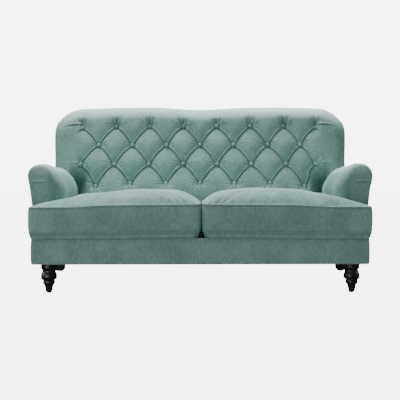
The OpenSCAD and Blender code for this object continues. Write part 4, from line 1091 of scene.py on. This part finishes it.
def front_border():
    """Outline in plan (front and short returns with round corners) times a closed profile: an
    outer face that swells by 2 mm as a sine, half circles above and below, a flat inner face.
    The upper part is drawn up to the border's rise, and the lower edge puckers in low sines."""
    r, end_y = BORDER_R, ARM_FRONT_Y - 0.0003
    plan = ribbon([[-BASE_HALF, end_y], [-BASE_HALF, BASE_FRONT + r]],
                  arc(-BASE_HALF + r, BASE_FRONT + r, r, np.pi, 1.5 * np.pi),
                  arc(BASE_HALF - r, BASE_FRONT + r, r, -0.5 * np.pi, 0), [[BASE_HALF, end_y]])
    step = np.gradient(plan, axis=0)
    outward = np.stack([step[:, 1], -step[:, 0]], -1) / np.linalg.norm(step, axis=1)[:, None]
    run = run_along(plan)[:, None]
    t = np.linspace(0, 1, 26)
    turn = np.linspace(0, np.pi, 11)[1:-1]
    e = BORDER_T / 2
    low, high = BASE_LOW + e, DECK - e
    z = np.concatenate([lerp(low, high, t), high + e * np.sin(turn), [high, low], low - e * np.sin(turn)])
    out = np.concatenate([0.0022 * np.sin(np.pi * t) ** 0.6, e * (np.cos(turn) - 1), [-BORDER_T] * 2,
                          -e * (np.cos(turn) + 1)])
    pucker = 0.0007 * np.sin(run / 0.021 + 2 * np.sin(run / 0.13)) * bell((z - BASE_LOW) / 0.018) * (out > -e)
    raised = z + border_rise(plan[:, :1]) * smooth((z - 0.215) / 0.045)
    xy = plan[:, None] + (out + pucker)[..., None] * outward[:, None]
    rows, cols = raised.shape
    ends = [np.arange(cols)[::-1][None], ((rows - 1) * cols + np.arange(cols))[None]]
    piece = mesh_object("front_border_padded", np.concatenate([xy, raised[..., None]], -1),
                        [quads(rows, cols, around=True), *ends])
    # painted shade darkens the lower edge, where the cloth turns under
    lay_cloth(piece, np.broadcast_to(run, (rows, cols)), np.broadcast_to(z, (rows, cols)),
              np.broadcast_to(0.3 * bell((z - BASE_LOW) / 0.004), (rows, cols)))
    return piece


border = front_border()
border.data.materials.append(cover)
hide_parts("front_border")
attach(border, "frame")


# Front legs: turned and lacquered black, each with a ball foot, a vase and a collar that
# meets the base.
LEG_X, LEG_Y = 0.750, -0.360
LEG_PROFILE = np.array([
    (0.0040, 0.0125), (0.0046, 0.0137), (0.0080, 0.0156), (0.0200, 0.0184), (0.0300, 0.0204), (0.0375, 0.0218),
    (0.0400, 0.0236), (0.0420, 0.0260), (0.0460, 0.0291), (0.0520, 0.0303), (0.0575, 0.0291), (0.0612, 0.0281),
    (0.0630, 0.0286), (0.0655, 0.0330), (0.0690, 0.0370), (0.0740, 0.0392), (0.0800, 0.0400), (0.0850, 0.0398),
    (0.0920, 0.0384), (0.0990, 0.0356), (0.1060, 0.0328), (0.1100, 0.0320), (0.1130, 0.0324), (0.1165, 0.0348),
    (0.1200, 0.0378), (0.1235, 0.0390), (0.1420, 0.0390), (0.1440, 0.0386), (0.1447, 0.0376)])


def lacquer():
    """Black satin lacquer over fine grain, with a slightly cloudy shine."""
    f = Finish("black_lacquer")
    place = f.place()
    grain = f.noise(f.stretched(place, (260, 260, 22)), 1, 3, 0.6)
    cloud = f.noise(place, 30)
    colour = f.mix(f.level(cloud, 0.35, 0.65), (0.011, 0.0108, 0.0106), (0.021, 0.0206, 0.0203))
    return f.surface(colour, f.level(grain, 0.3, 0.7, 0.38, 0.46), grain * 0.6 + cloud * 0.4, 0.0002, {
        "Specular IOR Level": 1.0, "Coat Weight": 1.0, "Coat Roughness": 0.35})


def front_leg(side, hand):
    """Profile (height, radius) at even steps, each a weighted mean of five, turned round the
    leg's axis."""
    run = run_along(LEG_PROFILE)
    s = np.linspace(0, run[-1], 150)
    soft = np.array([1, 2, 3, 2, 1]) / 9
    height, radius = (np.interp(s, run, column) for column in LEG_PROFILE.T)
    height[2:-2], radius[2:-2] = (np.convolve(line, soft, "valid") for line in (height, radius))
    angle = np.linspace(0, 2 * np.pi, 72, endpoint=False)
    rings = np.stack([side * LEG_X + radius[:, None] * np.cos(angle), LEG_Y + radius[:, None] * np.sin(angle),
                      np.broadcast_to(height[:, None], (len(s), len(angle)))], -1)
    return ringed(hand + "_turned_leg", rings, [[side * LEG_X, LEG_Y, z] for z in height[[0, -1]]])


black = lacquer()
for side, hand in ((-1, "left"), (1, "right")):
    leg = front_leg(side, hand)
    leg.data.materials.append(black)
    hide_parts(hand + "_front_leg")
    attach(leg, "frame")


# Rear legs: square, raked beech blanks in the same black lacquer, as the frame has them.
def dress(material, *names):
    """Gives carried-over parts of the frame their finish."""
    for name in names:
        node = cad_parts[name]
        node.data.materials.clear()
        node.data.materials.append(material)


dress(black, "left_rear_leg", "right_rear_leg")


# Glides: hard black plastic pads nailed under the feet, scuffed where they rub.
def glide_plastic():
    """Near-black, with paler and rougher scuffs."""
    f = Finish("glide_plastic")
    scuff = f.level(f.noise(f.stretched(f.place(), (90, 400, 90)), 1, 3, 0.6), 0.55, 0.7)
    colour = f.mix(scuff, (0.022, 0.022, 0.023), (0.075, 0.075, 0.078))
    return f.surface(colour, f.level(scuff, 0, 1, 0.38, 0.62), scuff, 0.0001)


dress(glide_plastic(), "leg_glides")


# Timber frame: rails, posts, blocks and stumps of steamed beech, planed and unfinished. The
# grain is laid along each part's length, with the short pink-brown flecks of beech.
RING_ALONG, RING_ACROSS = 1.6, 34.0
FLECK_ALONG, FLECK_ACROSS = 120.0, 900.0


def beech(name, along):
    """along is the direction of the grain, 0 for x, 1 for y and 2 for z."""
    f = Finish(name)
    place = f.place()
    ring_scale = np.where(np.arange(3) == along, RING_ALONG, RING_ACROSS).tolist()
    fleck_scale = np.where(np.arange(3) == along, FLECK_ALONG, FLECK_ACROSS).tolist()
    ring = f.noise(f.stretched(place, ring_scale), 1, 4, 0.55, 0.8)
    fleck = f.noise(f.stretched(place, fleck_scale), 1)
    rings = f.level(ring, 0.3, 0.7)
    colour = f.ramp(rings, [(0.0, paint(186, 142, 98)), (0.5, paint(206, 166, 122)),
                            (1.0, paint(222, 186, 144))])
    colour = f.mix(f.level(fleck, 0.58, 0.70) * 0.45, colour, paint(150, 104, 66))
    return f.surface(colour, f.level(ring, 0.3, 0.7, 0.50, 0.64), ring * 0.4 + fleck * 0.6, 0.0003)


dress(beech("beech_across", 0), "front_rail", "rear_rail", "spring_rail", "back_top_rail", "back_lower_rail",
      "corner_blocks")
dress(beech("beech_deep", 1), "left_side_rail", "right_side_rail", "seat_stretcher", "left_arm_rail",
      "right_arm_rail", "left_arm_tack_rail", "right_arm_tack_rail")
dress(beech("beech_upright", 2), "left_back_post", "right_back_post", "back_uprights", "left_arm_stump",
      "right_arm_stump")


# Springs, clips, bolts and nuts: springs of bare drawn wire, the rest zinc plated.
def steel(name, colour, rough):
    """Bare metal with a cloudy tone and fine scratches along y."""
    f = Finish(name)
    place = f.place()
    cloud = f.noise(place, 120, 3, 0.6)
    scratch = f.noise(f.stretched(place, (1500, 90, 1500)), 1)
    tone = f.mix(f.level(cloud, 0.3, 0.7), tuple(c * 0.72 for c in colour), colour)
    return f.surface(tone, f.level(scratch, 0.3, 0.7, rough, rough + 0.2), scratch, 0.00005, {"Metallic": 1.0})


dress(steel("spring_steel", (0.30, 0.30, 0.31), 0.36), "seat_springs")
dress(steel("zinc_plate", (0.62, 0.63, 0.66), 0.26), "spring_clips", "post_bolts", "leg_bolts", "leg_nuts")


# Webbing, twines and spring insulator: jute, loosely spun and woven at about 3 mm.
def bands(f, place, direction, scale, wander=None):
    """Parallel ribs that follow each other in a direction, with the settings of their wander."""
    return f.node("TexWave", {"wave_type": "BANDS", "bands_direction": direction},
                  {"Vector": place, "Scale": scale, **(wander or {})}).out("Fac")


def jute():
    """Wandering warp and weft bands, of which the higher one shows, with loose hairs."""
    f = Finish("jute_weave")
    place = f.place()
    loose = {"Distortion": 1.5, "Detail": 2.0, "Detail Scale": 3.0}
    warp, weft = (bands(f, place, direction, 105.0, loose) for direction in "XZ")
    weave = warp.math("MAXIMUM", warp, weft)
    hair = f.noise(place, 300, 3, 0.7)
    colour = f.ramp(weave * 0.7 + hair * 0.3, [
        (0.2, paint(112, 88, 56)), (0.6, paint(168, 140, 98)), (1.0, paint(196, 170, 126))])
    return f.surface(colour, 0.9, weave + hair * 0.5, 0.0006)


dress(jute(), "back_webbing", "button_twines", "spring_insulator")


# Seat deck: foam under a plain platform cloth of the cover's colour, shown only when a
# cushion is lifted.
DECK_SET_IN = 0.0063
DECK_THICK = 0.018
DECK_CUT = 0.010
DECK_RIM = 0.009


def platform_cloth():
    """Plain weave, warp x weft, in a slightly cloudy colour."""
    f = Finish("platform_cloth")
    place = f.place()
    warp, weft = (bands(f, place, direction, 260.0, {"Distortion": 0.6}) for direction in "XY")
    weave = warp * weft
    cloud = f.noise(place, 12, 3, 0.55)
    tone = f.level(cloud, 0.3, 0.7) * 0.6 + weave * 0.4
    colour = f.ramp(tone, [(0.0, paint(84, 112, 106)), (1.0, paint(112, 142, 135))])
    return f.surface(colour, 0.88, weave + cloud * 2, 0.0004)


def seat_deck():
    """Rings of the deck's outline: its lower edge, its rim, rounded over DECK_RIM as a quarter
    ellipse, and its top, drawn in to the middle, which stands 1 mm higher."""
    side, front = BASE_HALF - DECK_SET_IN, BASE_FRONT + DECK_SET_IN
    arm_y, inner, rear = ARM_FRONT_Y - 0.0006, ARM_IN - 0.0003, BACK_FACE - 0.0003
    half = ribbon([[0, front], [side - DECK_CUT, front], [side, front + DECK_CUT], [side, arm_y],
                   [inner, arm_y], [inner, rear], [0, rear]])
    line = np.concatenate([half, half[-2:0:-1] * [-1, 1]])
    middle = np.array([0, -0.14])
    inward = (middle - line) / np.linalg.norm(middle - line, axis=1)[:, None]
    rim = np.array([0.0, 0.0015, 0.005, 0.009])
    share = np.linspace(0, 0.97, 14)[1:]
    rim_xy = line + rim[:, None, None] * inward
    xy = np.concatenate([line[None], rim_xy, lerp(rim_xy[-1], middle, share[:, None, None])])
    z = DECK - np.concatenate([[DECK_THICK], DECK_RIM * (1 - np.sqrt(1 - (1 - rim / DECK_RIM) ** 2)),
                               0.0002 + 0.0012 * (1 - share)])
    rings = np.concatenate([xy, np.broadcast_to(z[:, None, None], (*xy.shape[:2], 1))], -1)
    return ringed("seat_deck_covered", rings, [[*middle, DECK - DECK_THICK], [*middle, DECK - 0.0002]])


deck = seat_deck()
deck.data.materials.append(platform_cloth())
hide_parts("seat_deck")
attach(deck, "frame")


# Dust cover: thin black non-woven cloth stapled under the base.
def cambric():
    """Black felted fibres, lying in slack waves."""
    f = Finish("black_cambric")
    place = f.place()
    fibre = f.noise(place, 420, 4, 0.7, 1.0)
    colour = f.mix(f.level(fibre, 0.35, 0.65), (0.006, 0.006, 0.007), (0.020, 0.020, 0.022))
    return f.surface(colour, 0.85, fibre + f.noise(place, 9) * 6, 0.0005)


dress(cambric(), "dust_cover")


# Cushion cores: cream foam, seen only as a solid inside its cover.
def foam():
    """Fine round cells in a slightly cloudy cream."""
    f = Finish("cream_foam")
    place = f.place()
    cell = f.node("TexVoronoi", {"feature": "F1"}, {"Vector": place, "Scale": 600.0}).out("Distance")
    colour = f.mix(f.level(f.noise(place, 14), 0.3, 0.7), paint(232, 224, 204), paint(242, 236, 220))
    return f.surface(colour, 0.92, cell, 0.0006)


dress(foam(), "left_cushion_core", "right_cushion_core")


# Zips: a woven tape with one row of teeth along the rear boxing of each cushion, and a slider
# with a pull that hangs from it.
TAPE_MIDDLE = 0.3578
TEETH_IN, TEETH_OUT = 0.0022, 0.0027


def zip_tape():
    """Twill tape either side of coil teeth: fine slanting ribs, and teeth 2 mm apart within
    2.5 mm of the middle line."""
    f = Finish("zip_tape")
    place = f.place()
    height = f.node("SeparateXYZ", None, {"Vector": place}).out("Z")
    near_teeth = f.level(height.math("ABSOLUTE", height - TAPE_MIDDLE), TEETH_IN, TEETH_OUT, 1, 0)
    tooth = bands(f, place, "X", 157.0)
    twill = bands(f, place, "DIAGONAL", 400.0)
    cloth = f.ramp(twill, [(0.0, paint(70, 98, 92)), (1.0, paint(92, 122, 116))])
    metal = f.ramp(tooth, [(0.3, paint(52, 76, 71)), (0.7, paint(118, 146, 140))])
    return f.surface(f.mix(near_teeth, cloth, metal), f.level(near_teeth, 0, 1, 0.85, 0.35),
                     tooth * near_teeth + twill * 0.2, 0.0006)


dress(zip_tape(), "left_zip_tape", "right_zip_tape")
dress(steel("zip_metal", (0.55, 0.54, 0.50), 0.22), "left_zip_slider", "right_zip_slider")
